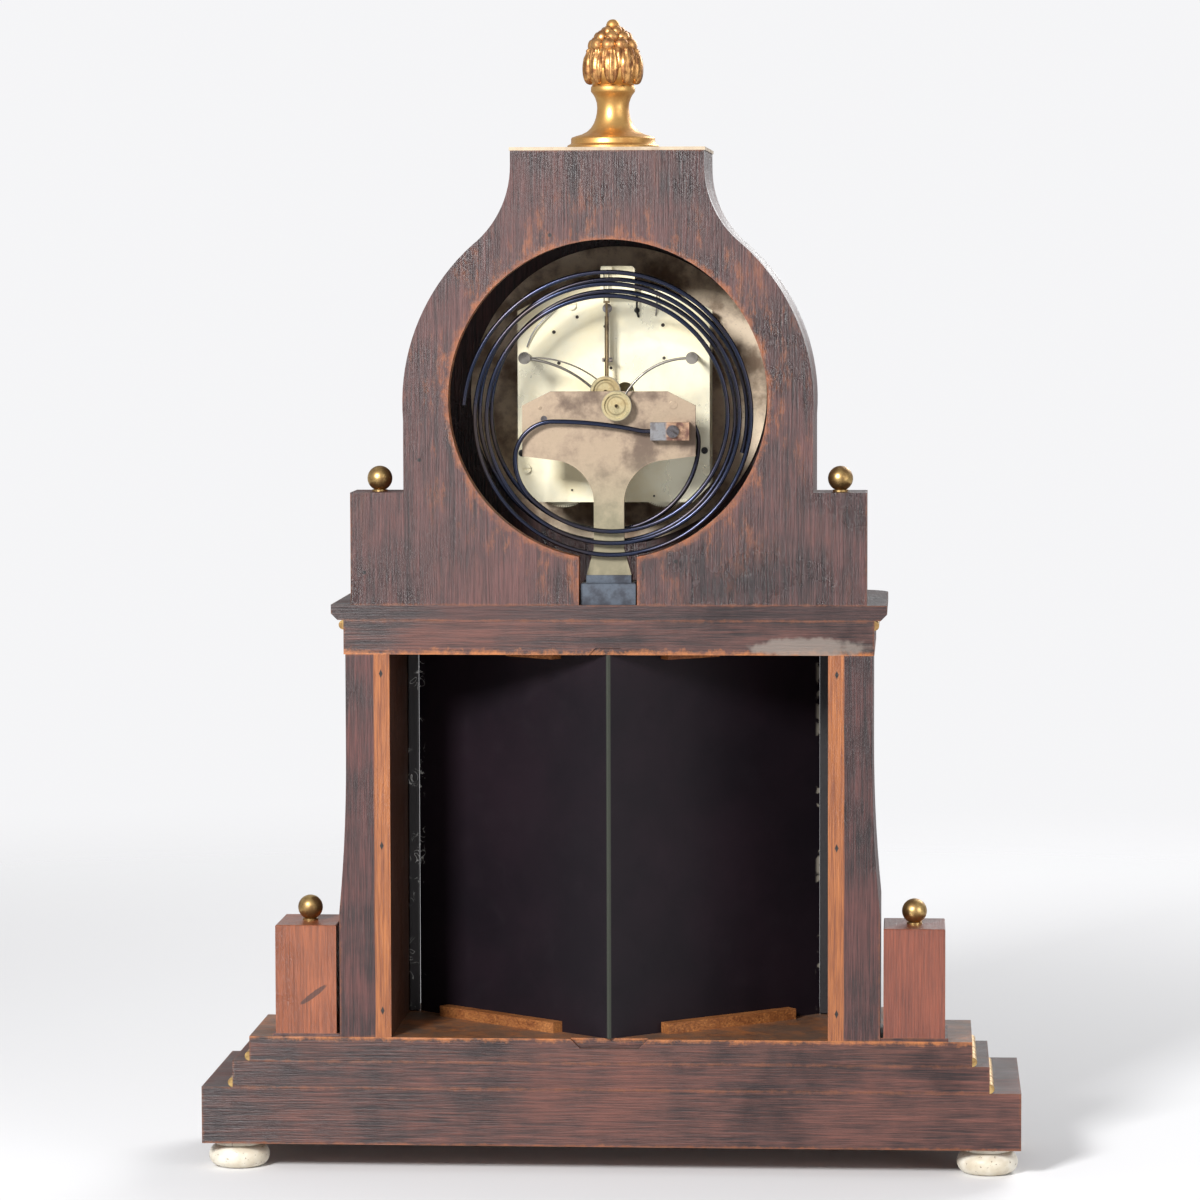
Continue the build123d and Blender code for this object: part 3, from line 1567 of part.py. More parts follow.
with BuildPart() as bezel:
    with BuildSketch(turning_plane):
        with BuildLine():
            Polyline(*bezel_section, close=True)
        make_face()
    revolve(axis=axle(0, movement_z))
    with BuildSketch(Plane.XY.offset(movement_z - hinge_knuckle_length / 2)):
        with Locations((hinge_x, depth_y(hinge_depth))):
            Circle(hinge_knuckle_radius)
        with Locations((hinge_x + 2.2, depth_y(hinge_depth + 0.4))):
            Rectangle(3.6, 2.6)
        with Locations((hinge_x, depth_y(hinge_depth))):
            Circle(hinge_pin_radius + running_gap, mode=Mode.SUBTRACT)
    extrude(amount=hinge_knuckle_length)
    with Locations((bezel_outer_radius + knob_overhang, depth_y(knob_depth), movement_z)):
        Sphere(bezel_knob_radius)
    with BuildSketch(Plane.YZ.offset(bezel_outer_radius - knob_root)):
        with Locations((depth_y(knob_depth), movement_z)):
            Circle(knob_stem_radius)
    extrude(amount=knob_stem_length)
save(bezel, "bezel")

with BuildPart() as bezel_glass:
    with BuildSketch(upright(glass_back)):
        with Locations(train_places[0]):
            Circle(glass_radius)
    extrude(amount=glass_thickness)
save(bezel_glass, "bezel_glass")

leaf_edge_x = hinge_x - hinge_knuckle_radius - 0.5
end_knuckle_start = hinge_knuckle_length / 2 + joint_gap
hinge_half_height = end_knuckle_start + hinge_end_length
with BuildPart() as bezel_hinge:
    with BuildSketch(Plane.XY.offset(movement_z - hinge_half_height - 0.6)):
        with Locations((hinge_x, depth_y(hinge_depth))):
            Circle(hinge_pin_radius)
    extrude(amount=2 * (hinge_half_height + 0.6))
    for bottom in (-hinge_half_height, end_knuckle_start):
        with BuildSketch(Plane.XY.offset(movement_z + bottom)):
            with Locations((hinge_x, depth_y(hinge_depth))):
                Circle(hinge_knuckle_radius)
            with Locations(((hinge_x + leaf_edge_x) / 2 - 0.4, depth_y(head_depth + 0.9))):
                Rectangle(hinge_x - leaf_edge_x + 0.8, 1.8)
        extrude(amount=hinge_end_length)
    with BuildSketch(upright(head_depth)):
        with Locations((leaf_edge_x - hinge_leaf_width / 2, movement_z)):
            Rectangle(hinge_leaf_width, 2 * hinge_half_height)
    extrude(amount=hinge_leaf_thickness)
    with BuildSketch(upright(head_depth + hinge_leaf_thickness)):
        with Locations(*[(leaf_edge_x - hinge_leaf_width / 2, movement_z + z) for z in (-8, 8)]):
            Circle(1.7)
    extrude(amount=0.5)
save(bezel_hinge, "bezel_hinge")
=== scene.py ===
"""Looks of the portico clock: finishes, leaves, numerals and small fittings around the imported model."""

import math

import bmesh
import bpy
from mathutils import Matrix, Vector


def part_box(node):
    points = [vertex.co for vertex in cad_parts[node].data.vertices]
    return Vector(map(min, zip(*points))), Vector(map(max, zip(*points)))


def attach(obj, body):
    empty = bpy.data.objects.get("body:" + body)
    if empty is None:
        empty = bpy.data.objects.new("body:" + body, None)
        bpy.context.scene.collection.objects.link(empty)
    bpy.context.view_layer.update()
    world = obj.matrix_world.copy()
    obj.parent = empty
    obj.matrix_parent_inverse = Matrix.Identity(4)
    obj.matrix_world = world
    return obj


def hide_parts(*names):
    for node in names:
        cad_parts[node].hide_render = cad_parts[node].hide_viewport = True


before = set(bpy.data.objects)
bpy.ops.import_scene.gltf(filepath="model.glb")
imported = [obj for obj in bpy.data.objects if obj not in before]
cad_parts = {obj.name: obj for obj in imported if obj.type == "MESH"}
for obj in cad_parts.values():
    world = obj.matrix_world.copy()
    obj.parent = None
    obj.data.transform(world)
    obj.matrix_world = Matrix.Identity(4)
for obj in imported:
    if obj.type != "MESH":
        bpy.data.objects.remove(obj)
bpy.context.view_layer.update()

# Camera: it stands behind the clock, a little to the finial's right as seen from there, and looks
# slightly down, as in the photograph.
photo_size = 1200
photo_focal_pixels = 4700.0
camera_place = Vector((-0.1405, 2.2099, 0.4216))
camera_yaw, camera_pitch, camera_roll = -0.0669, 0.07145, -0.00262
level_view = Matrix(((-1, 0, 0), (0, 0, 1), (0, -1, 0)))
view_axes = (
    Matrix.Rotation(-camera_roll, 3, "Z")
    @ Matrix.Rotation(-camera_pitch, 3, "X")
    @ Matrix.Rotation(-camera_yaw, 3, "Y")
    @ level_view
)
camera_data = bpy.data.cameras.new("photo_camera")
camera_data.sensor_width = 36.0
camera_data.lens = camera_data.sensor_width * photo_focal_pixels / photo_size
camera = bpy.data.objects.new("photo_camera", camera_data)
bpy.context.scene.collection.objects.link(camera)
camera_turn = Matrix((view_axes[0], view_axes[1], -view_axes[2])).transposed()
camera.matrix_world = Matrix.Translation(camera_place) @ camera_turn.to_4x4()
bpy.context.scene.camera = camera
bpy.context.scene.view_settings.view_transform = "Standard"


# Studio light: a soft key from the upper left of the back view, a weak fill from the other side and
# one from the front, under an even pale sky that the camera, metal and glass see as white.
def soft_lamp(name, place, target, size, watts):
    """Square lamp at this place, turned towards the target."""
    lamp_data = bpy.data.lights.new(name, "AREA")
    lamp_data.size = size
    lamp_data.energy = watts
    lamp = bpy.data.objects.new(name, lamp_data)
    bpy.context.scene.collection.objects.link(lamp)
    aim = (Vector(target) - Vector(place)).to_track_quat("-Z", "Y")
    lamp.matrix_world = Matrix.Translation(place) @ aim.to_matrix().to_4x4()


lamp_target = (0.0, 0.0, 0.27)
soft_lamp("key_lamp", (0.75, 1.75, 1.10), lamp_target, 0.40, 56.0)
soft_lamp("fill_lamp", (-1.5, 1.3, 0.6), lamp_target, 1.2, 11.0)
soft_lamp("front_lamp", (-0.9, -1.7, 1.2), lamp_target, 1.0, 26.0)


def feed(node, inputs):
    """Set inputs of a node; each is a value or the output that feeds it."""
    for name, value in inputs.items():
        if isinstance(value, bpy.types.NodeSocket):
            node.id_data.links.new(value, node.inputs[name])
        else:
            node.inputs[name].default_value = value


def add_node(tree, kind, inputs=None, **settings):
    """Shader node with these settings and inputs."""
    new = tree.nodes.new(kind)
    for name, value in settings.items():
        setattr(new, name, value)
    feed(new, inputs or {})
    return new


def calculate(tree, operation, first, second=0.0, clamp=False):
    """Result of a Math node."""
    return add_node(tree, "ShaderNodeMath", {0: first, 1: second}, operation=operation, use_clamp=clamp).outputs[0]


def multiply(tree, first, second):
    """Product of two values."""
    return calculate(tree, "MULTIPLY", first, second)


def mix_colour(tree, factor, first, second):
    """Colour between first, at factor 0, and second, at factor 1."""
    mixed = add_node(tree, "ShaderNodeMix", {0: factor, 6: first, 7: second}, data_type="RGBA")
    return mixed.outputs[2]


sky_light, backdrop_light, glossy_share = 0.36, 0.93, 0.30
world = bpy.data.worlds.new("pale_studio")
world.use_nodes = True
bpy.context.scene.world = world
sky = world.node_tree
path = add_node(sky, "ShaderNodeLightPath")
seen = calculate(sky, "MAXIMUM", path.outputs["Is Camera Ray"], path.outputs["Is Transmission Ray"])
seen = calculate(sky, "MAXIMUM", seen, multiply(sky, path.outputs["Is Glossy Ray"], glossy_share))
sky_strength = add_node(sky, "ShaderNodeMapRange", {0: seen, 3: sky_light, 4: backdrop_light}).outputs[0]
feed(sky.nodes["Background"], {"Color": (0.985, 0.985, 1.0, 1.0), "Strength": sky_strength})


def open_finish(finish):
    """Node tree of a finish and its shader."""
    return finish.node_tree, finish.node_tree.nodes["Principled BSDF"]


def new_finish(name):
    """New material, its node tree and its shader."""
    finish = bpy.data.materials.new(name)
    finish.use_nodes = True
    return finish, *open_finish(finish)


def object_place(tree):
    """Place on the piece, in metres."""
    return add_node(tree, "ShaderNodeTexCoord").outputs["Object"]


def length(tree, vector):
    """Length of a vector."""
    return add_node(tree, "ShaderNodeVectorMath", {0: vector}, operation="LENGTH").outputs["Value"]


def clear_selection():
    """Leave edit mode and deselect everything."""
    if bpy.context.object and bpy.context.object.mode != "OBJECT":
        bpy.ops.object.mode_set(mode="OBJECT")
    bpy.ops.object.select_all(action="DESELECT")


# Floor: a plain pale disc that catches the shadow and fades into the sky.
floor_radius = 2.4
fade_start, fade_end = 0.55, 1.5
clear_selection()
bpy.ops.mesh.primitive_circle_add(vertices=96, radius=floor_radius, fill_type="NGON")
floor = bpy.context.object
floor.name = "studio_floor"
floor_finish, tree, shader = new_finish("floor_paper")
feed(shader, {"Base Color": (0.8, 0.8, 0.81, 1.0), "Roughness": 0.8})
floor_distance = length(tree, object_place(tree))
floor_fade = add_node(
    tree, "ShaderNodeMapRange", {0: floor_distance, 1: fade_start, 2: fade_end}, interpolation_type="SMOOTHSTEP"
).outputs[0]
see_through = add_node(tree, "ShaderNodeBsdfTransparent").outputs[0]
floor_mix = add_node(tree, "ShaderNodeMixShader", {0: floor_fade, 1: shader.outputs[0], 2: see_through})
feed(tree.nodes["Material Output"], {"Surface": floor_mix.outputs[0]})
floor.data.materials.append(floor_finish)


# Bun feet: turned bone, bone-white, yellowed in patches, with fine cracks.
def dress(finish, *names):
    """Give CAD nodes this finish."""
    for name in names:
        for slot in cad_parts[name].material_slots:
            slot.material = finish


def noise(tree, place, scale, detail=3.0, roughness=0.55, distortion=0.0):
    """Noise value around 0.5 at this place."""
    inputs = {
        "Vector": place,
        "Scale": scale,
        "Detail": detail,
        "Roughness": roughness,
        "Distortion": distortion,
    }
    return add_node(tree, "ShaderNodeTexNoise", inputs).outputs[0]


def span(tree, value, low, high):
    """Value mapped smoothly from low..high to 0..1."""
    inputs = {0: value, 1: low, 2: high}
    return add_node(tree, "ShaderNodeMapRange", inputs, interpolation_type="SMOOTHSTEP").outputs[0]


def emboss(tree, shader, height, depth):
    """Bump of this depth, in metres, from a height between 0 and 1."""
    inputs = {"Height": height, "Strength": 1.0, "Distance": depth}
    feed(shader, {"Normal": add_node(tree, "ShaderNodeBump", inputs).outputs[0]})


bone, tree, shader = new_finish("bone")
place = object_place(tree)
bone_tone = mix_colour(
    tree, span(tree, noise(tree, place, 90.0), 0.35, 0.7), (0.74, 0.70, 0.60, 1.0), (0.56, 0.49, 0.37, 1.0)
)
bone_pits = span(tree, noise(tree, place, 700.0), 0.62, 0.72)
bone_colour = mix_colour(tree, bone_pits, bone_tone, (0.25, 0.19, 0.13, 1.0))
feed(shader, {"Base Color": bone_colour, "Roughness": 0.42})
emboss(tree, shader, noise(tree, place, 420.0), 0.0001)
dress(bone, "bun_feet")


# Wood of the case: pine stained a dark purplish brown, with its stain rubbed off to orange at the
# edges. The three groups hold the grain, the distance to a board's edges, and a ragged rubbed band.
def new_group(name, inputs, outputs):
    """Node group with these named sockets, and its input and output nodes."""
    group = bpy.data.node_groups.new(name, "ShaderNodeTree")
    for socket_name, kind in inputs:
        group.interface.new_socket(socket_name, in_out="INPUT", socket_type=kind)
    for socket_name, kind in outputs:
        group.interface.new_socket(socket_name, in_out="OUTPUT", socket_type=kind)
    return group, group.nodes.new("NodeGroupInput"), group.nodes.new("NodeGroupOutput")


def use_group(tree, group, inputs):
    """Node that places a group."""
    placed = tree.nodes.new("ShaderNodeGroup")
    placed.node_tree = group
    feed(placed, inputs)
    return placed


def axes(tree, vector):
    """X, Y and Z of a vector."""
    return add_node(tree, "ShaderNodeSeparateXYZ", {0: vector}).outputs


def remap(tree, place, **change):
    """Place after a Location, Rotation or Scale."""
    return add_node(tree, "ShaderNodeMapping", {"Vector": place, **change}).outputs[0]


def add_scaled(tree, base, value, weight):
    """Base plus a weighted value."""
    return calculate(tree, "ADD", base, calculate(tree, "MULTIPLY", value, weight))


def apart(tree, first, second):
    """Distance between two values."""
    return calculate(tree, "ABSOLUTE", calculate(tree, "SUBTRACT", first, second))


sawn_grain, group_in, group_out = new_group(
    "sawn_grain",
    (
        ("Place", "NodeSocketVector"),
        ("Soft place", "NodeSocketVector"),
        ("Dark", "NodeSocketColor"),
        ("Light", "NodeSocketColor"),
    ),
    (("Colour", "NodeSocketColor"), ("Height", "NodeSocketFloat"), ("Sheen", "NodeSocketFloat")),
)
fibres = noise(sawn_grain, group_in.outputs["Place"], 1150.0, 5.0, 0.7)
streaks = noise(sawn_grain, group_in.outputs["Place"], 300.0, 4.0, 0.6, 0.6)
clouds = noise(sawn_grain, group_in.outputs["Soft place"], 26.0, 5.0, 0.6)
grain_tone = add_scaled(sawn_grain, multiply(sawn_grain, fibres, 0.4), streaks, 0.3)
grain_tone = add_scaled(sawn_grain, grain_tone, clouds, 0.5)
grain_colour = mix_colour(
    sawn_grain, span(sawn_grain, grain_tone, 0.45, 0.78), group_in.outputs["Dark"], group_in.outputs["Light"]
)
feed(group_out, {"Colour": grain_colour, "Height": fibres, "Sheen": span(sawn_grain, clouds, 0.3, 0.7)})

board_edge, group_in, group_out = new_group(
    "board_edge",
    (("Place", "NodeSocketVector"), ("Low", "NodeSocketVector"), ("High", "NodeSocketVector")),
    (("Distance", "NodeSocketFloat"),),
)
from_low = add_node(
    board_edge,
    "ShaderNodeVectorMath",
    {0: group_in.outputs["Place"], 1: group_in.outputs["Low"]},
    operation="SUBTRACT",
)
from_high = add_node(
    board_edge,
    "ShaderNodeVectorMath",
    {0: group_in.outputs["High"], 1: group_in.outputs["Place"]},
    operation="SUBTRACT",
)
nearest = add_node(
    board_edge, "ShaderNodeVectorMath", {0: from_low.outputs[0], 1: from_high.outputs[0]}, operation="MINIMUM"
)
across, deep, tall = axes(board_edge, nearest.outputs[0])
smaller = calculate(board_edge, "MINIMUM", across, deep)
larger = calculate(board_edge, "MAXIMUM", across, deep)
second = calculate(board_edge, "MAXIMUM", smaller, calculate(board_edge, "MINIMUM", larger, tall))
feed(group_out, {"Distance": second})

rubbed_band, group_in, group_out = new_group(
    "rubbed_band",
    (("Place", "NodeSocketVector"), ("Distance", "NodeSocketFloat"), ("Width", "NodeSocketFloat")),
    (("Mask", "NodeSocketFloat"),),
)
ragged = noise(rubbed_band, group_in.outputs["Place"], 150.0, 8.0, 0.78)
reach = multiply(
    rubbed_band,
    group_in.outputs["Width"],
    calculate(rubbed_band, "SUBTRACT", multiply(rubbed_band, ragged, 5.0), 1.6),
)
inside = calculate(rubbed_band, "SUBTRACT", reach, group_in.outputs["Distance"])
softness = multiply(rubbed_band, group_in.outputs["Width"], 1.1)
feed(group_out, {"Mask": calculate(rubbed_band, "DIVIDE", inside, softness, clamp=True)})

stain_dark = (0.013, 0.006, 0.007, 1.0)
stain_light = (0.098, 0.032, 0.028, 1.0)
rubbed_brown = (0.20, 0.062, 0.020, 1.0)
raw_orange = (0.40, 0.135, 0.036, 1.0)


def along_grain(tree, place, axis):
    """Place squeezed along the grain, so that patterns run in long fibres."""
    squeeze = [1.0, 1.0, 1.0]
    squeeze[axis] = 0.035
    return remap(tree, place, Scale=squeeze)


def band_distance(tree, place, axis, position, both_sides):
    """Distance from a plane across an axis, or from the pair of planes on both sides of the clock."""
    value = axes(tree, place)[axis]
    if both_sides:
        value = calculate(tree, "ABSOLUTE", value)
    return apart(tree, value, position)


def colour_source(shader):
    """Output that feeds the shader's base colour."""
    return shader.inputs["Base Color"].links[0].from_socket


def wooden_board(name, axis, dark=stain_dark, light=stain_light, edge_width=0.0011, gloss=0.42, bands=()):
    """Stained finish for one node, with rubbed edges. A band is (axis, position, both sides, width, colour)."""
    finish, tree, shader = new_finish(name + "_wood")
    place = object_place(tree)
    grain_inputs = {"Place": along_grain(tree, place, axis), "Soft place": place, "Dark": dark, "Light": light}
    grain = use_group(tree, sawn_grain, grain_inputs)
    low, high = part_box(name)
    edge = use_group(tree, board_edge, {"Place": place, "Low": low, "High": high})
    colour = grain.outputs["Colour"]
    worn = use_group(
        tree, rubbed_band, {"Place": place, "Distance": edge.outputs["Distance"], "Width": edge_width}
    ).outputs["Mask"]
    fibre_tint = add_scaled(tree, 0.35, grain.outputs["Height"], 1.25)
    colour = mix_colour(tree, multiply(tree, worn, 0.5), colour, rubbed_brown)
    for band_axis, position, both_sides, width, band_colour in bands:
        distance = band_distance(tree, place, band_axis, position, both_sides)
        mask = use_group(tree, rubbed_band, {"Place": place, "Distance": distance, "Width": width}).outputs["Mask"]
        colour = mix_colour(tree, multiply(tree, mask, 0.9), colour, band_colour)
    tinted = add_node(tree, "ShaderNodeVectorMath", {0: colour, "Scale": fibre_tint}, operation="SCALE").outputs[0]
    feed(shader, {"Base Color": tinted})
    dull = add_scaled(tree, gloss - 0.1, grain.outputs["Sheen"], 0.25)
    feed(shader, {"Roughness": dull})
    emboss(tree, shader, grain.outputs["Height"], 0.00035)
    dress(finish, name)
    return finish


# Base boards: plinth and two steps, grain along their length, worn to orange on the plinth's foot and
# on the top step's back edge, where dust lies on the floor behind the mirrors.
plinth_foot = float(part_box("plinth")[0][2])
step_top = float(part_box("upper_step")[1][2])
wooden_board(
    "plinth",
    0,
    light=(0.125, 0.043, 0.031, 1.0),
    bands=((2, plinth_foot, False, 0.0012, rubbed_brown),),
)
wooden_board("lower_step", 0, light=(0.13, 0.043, 0.030, 1.0))
upper_step = wooden_board(
    "upper_step",
    0,
    light=(0.12, 0.041, 0.028, 1.0),
    bands=((2, step_top, False, 0.0022, raw_orange),),
)
tree, shader = open_finish(upper_step)
place = object_place(tree)
facing_up = axes(tree, add_node(tree, "ShaderNodeNewGeometry").outputs["Normal"])[2]
dust_patches = span(tree, noise(tree, place, 60.0, 6.0, 0.7), 0.25, 0.62)
dust = multiply(tree, span(tree, facing_up, 0.6, 0.95), dust_patches)
step_colour = colour_source(shader)
dusty = mix_colour(tree, multiply(tree, dust, 0.8), step_colour, (0.085, 0.066, 0.052, 1.0))
feed(shader, {"Base Color": dusty})


# Brass trim and balls: old lacquered brass, brown in the hollows, with a few bright rubbed spots.
tarnish, group_in, group_out = new_group(
    "tarnish",
    (
        ("Place", "NodeSocketVector"),
        ("Patch scale", "NodeSocketFloat"),
        ("Bright", "NodeSocketColor"),
        ("Dull", "NodeSocketColor"),
    ),
    (("Colour", "NodeSocketColor"), ("Roughness", "NodeSocketFloat"), ("Height", "NodeSocketFloat")),
)
patches = noise(tarnish, group_in.outputs["Place"], group_in.outputs["Patch scale"], 5.0, 0.62)
specks = noise(tarnish, group_in.outputs["Place"], 900.0, 3.0, 0.6)
tarnish_mask = span(tarnish, patches, 0.36, 0.66)
metal_colour = mix_colour(tarnish, tarnish_mask, group_in.outputs["Bright"], group_in.outputs["Dull"])
metal_colour = mix_colour(
    tarnish, multiply(tarnish, span(tarnish, specks, 0.6, 0.74), 0.5), metal_colour, group_in.outputs["Dull"]
)
feed(group_out, {"Colour": metal_colour})
metal_roughness = add_scaled(tarnish, 0.18, tarnish_mask, 0.26)
feed(
    group_out,
    {"Roughness": metal_roughness, "Height": add_scaled(tarnish, multiply(tarnish, patches, 0.6), specks, 0.4)},
)


def old_metal(name, bright, dull, patch_scale, rougher=0.0, metallic=1.0, relief=0.00004):
    """Metal that is bright where handled and dull between."""
    finish, tree, shader = new_finish(name)
    place = object_place(tree)
    surface = use_group(tree, tarnish, {"Place": place, "Patch scale": patch_scale, "Bright": bright, "Dull": dull})
    feed(shader, {"Base Color": surface.outputs["Colour"]})
    roughness = calculate(tree, "ADD", surface.outputs["Roughness"], rougher)
    feed(shader, {"Roughness": roughness, "Metallic": metallic})
    emboss(tree, shader, surface.outputs["Height"], relief)
    return finish


aged_brass = old_metal("aged_brass", (0.62, 0.42, 0.17, 1.0), (0.22, 0.13, 0.055, 1.0), 160.0, 0.1)
dress(aged_brass, "bead_trims", "pedestal_balls", "shoulder_balls")

# Posts: side walls with the grain upright. A raw strip, once hidden by the rear panel, runs down the
# inner edge of each back face, with small nail holes. The inner sides were never stained so dark.
post_back_y = float(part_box("post_right")[1][1])
post_inner_x = 0.1012
raw_strip_edge = post_inner_x + 0.0076
nail_heights = (0.0760, 0.1530, 0.2330)
for name in ("post_left", "post_right"):
    tree, shader = open_finish(wooden_board(name, 2))
    place = object_place(tree)
    x_here, y_here, z_here = axes(tree, place)
    from_middle = calculate(tree, "ABSOLUTE", x_here)
    fibre = noise(tree, along_grain(tree, place, 2), 900.0, 4.0, 0.7)
    ragged_edge = add_scaled(tree, from_middle, fibre, 0.0022)
    on_back = span(tree, y_here, post_back_y - 0.0012, post_back_y - 0.0006)
    strip = multiply(tree, span(tree, ragged_edge, raw_strip_edge + 0.0012, raw_strip_edge + 0.0006), on_back)
    strip_tone = mix_colour(tree, span(tree, fibre, 0.3, 0.75), (0.16, 0.045, 0.016, 1.0), raw_orange)
    jamb = span(tree, from_middle, post_inner_x + 0.0006, post_inner_x + 0.0002)
    colour = colour_source(shader)
    colour = mix_colour(tree, jamb, colour, (0.050, 0.018, 0.009, 1.0))
    colour = mix_colour(tree, strip, colour, strip_tone)
    for height in nail_heights:
        nail_offset = apart(tree, z_here, height)
        nail_across = apart(tree, from_middle, raw_strip_edge - 0.0036)
        nail_near = add_scaled(tree, nail_across, nail_offset, 0.45)
        nail = multiply(tree, span(tree, nail_near, 0.0011, 0.0007), on_back)
        colour = mix_colour(tree, nail, colour, (0.006, 0.004, 0.004, 1.0))
    feed(shader, {"Base Color": colour})

# Pedestals: smooth polished mahogany blocks, orange-brown, each on a thin dark slip. The right one is
# painted lighter and redder as painted light on the lit side, and the left one darker as painted shade.
for name, dark, light in (
    ("pedestal_right", (0.17, 0.044, 0.016, 1.0), (0.29, 0.080, 0.027, 1.0)),
    ("pedestal_left", (0.12, 0.026, 0.013, 1.0), (0.20, 0.047, 0.021, 1.0)),
):
    tree, shader = open_finish(wooden_board(name, 2, dark, light, 0.0005, 0.36))
    if name == "pedestal_right":
        scar_middle = (0.1378, 0.0, 0.0830)
        scar_slope = math.radians(37)
        place = object_place(tree)
        scar_place = remap(tree, place, Location=[-value for value in scar_middle])
        scar_place = remap(tree, scar_place, Rotation=(0.0, -scar_slope, 0.0))
        scar_place = remap(tree, scar_place, Scale=(130.0, 0.0, 750.0))
        scar_reach = length(tree, scar_place)
        scar_reach = add_scaled(tree, scar_reach, noise(tree, place, 500.0), 0.6)
        scar = multiply(tree, span(tree, scar_reach, 1.4, 1.1), 0.8)
        polished = colour_source(shader)
        feed(shader, {"Base Color": mix_colour(tree, scar, polished, (0.03, 0.01, 0.008, 1.0))})
    feed(shader, {"Coat Weight": 0.35, "Coat Roughness": 0.18})
wooden_board("pedestal_slips", 0)

# Mirror plates: silvered glass. From behind one sees the dark backing paint and, where the two plates
# meet, a greenish glass edge. From the front the plates reflect each other.
# Pale curled marks: a mask of thin broken curls, used on a mirror plate's edge and on a packing strip.
pale_curled_marks, group_in, group_out = new_group(
    "pale_curled_marks", (("Place", "NodeSocketVector"),), (("Mask", "NodeSocketFloat"),)
)
curl = noise(pale_curled_marks, group_in.outputs["Place"], 170.0, 1.0, 0.5, 1.6)
curl = apart(pale_curled_marks, curl, 0.5)
broken = span(pale_curled_marks, noise(pale_curled_marks, group_in.outputs["Place"], 75.0, 2.0), 0.52, 0.58)
feed(group_out, {"Mask": multiply(pale_curled_marks, span(pale_curled_marks, curl, 0.022, 0.01), broken)})
curled_edge_x, flaked_edge_x = 0.0925, -0.0935
mirror_glass, tree, shader = new_finish("mirror_plate")
place = object_place(tree)
facing = add_node(tree, "ShaderNodeSeparateXYZ", {0: add_node(tree, "ShaderNodeNewGeometry").outputs["Normal"]})
to_front = span(tree, facing.outputs[1], -0.2, -0.5)
to_back = span(tree, facing.outputs[1], 0.2, 0.5)
x_here = axes(tree, place)[0]
paint_tone = mix_colour(
    tree,
    span(tree, noise(tree, place, 14.0, 5.0), 0.3, 0.75),
    (0.0055, 0.0035, 0.006, 1.0),
    (0.013, 0.007, 0.011, 1.0),
)
glass_rim = span(tree, calculate(tree, "ABSOLUTE", x_here), 0.0012, 0.0007)
backing = mix_colour(tree, multiply(tree, glass_rim, 0.7), paint_tone, (0.06, 0.068, 0.052, 1.0))
# Pale curled marks painted along the outer edge of the +X plate, the left one as seen from the back.
pale_curl_mask = use_group(tree, pale_curled_marks, {"Place": place}).outputs["Mask"]
left_edge = span(tree, x_here, curled_edge_x, curled_edge_x + 0.0015)
backing = mix_colour(tree, multiply(tree, pale_curl_mask, left_edge), backing, (0.55, 0.55, 0.52, 1.0))
flaked = span(tree, noise(tree, place, 130.0, 5.0), 0.56, 0.62)
right_edge = span(tree, x_here, flaked_edge_x, flaked_edge_x - 0.0017)
backing = mix_colour(tree, multiply(tree, flaked, right_edge), backing, (0.3, 0.27, 0.22, 1.0))
edge_or_back = mix_colour(tree, to_back, (0.10, 0.13, 0.09, 1.0), backing)
plate_colour = mix_colour(tree, to_front, edge_or_back, (0.86, 0.88, 0.89, 1.0))
feed(shader, {"Base Color": plate_colour, "Metallic": to_front})
foxing = multiply(tree, span(tree, noise(tree, place, 90.0, 5.0), 0.5, 0.8), 0.12)
plate_roughness = calculate(tree, "ADD", multiply(tree, calculate(tree, "SUBTRACT", 1.0, to_front), 0.5), 0.03)
feed(shader, {"Roughness": calculate(tree, "ADD", plate_roughness, foxing), "Specular IOR Level": 0.22})
dress(mirror_glass, "mirror_left", "mirror_right")


def fasten(piece, name, body, finish):
    """Put a new piece's place into its mesh, give it its finish and let it ride on a body."""
    clear_selection()
    piece.select_set(True)
    bpy.context.view_layer.objects.active = piece
    bpy.ops.object.transform_apply(location=True, rotation=True, scale=True)
    piece.name = name
    piece.data.name = name
    if finish:
        piece.data.materials.clear()
        piece.data.materials.append(finish)
    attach(piece, body)


# Packing strips: narrow near-black battens that close the gap between each plate and its post. Their
# near-black is painted shade that stands for the dark gap. The left one carries pale curled marks.
painted_shade_black, tree, shader = new_finish("painted_shade_black")
place = object_place(tree)
x_here = axes(tree, place)[0]
strip_curl_mask = use_group(tree, pale_curled_marks, {"Place": place}).outputs["Mask"]
strip_curl_mask = multiply(tree, strip_curl_mask, span(tree, x_here, 0.0, 0.01))
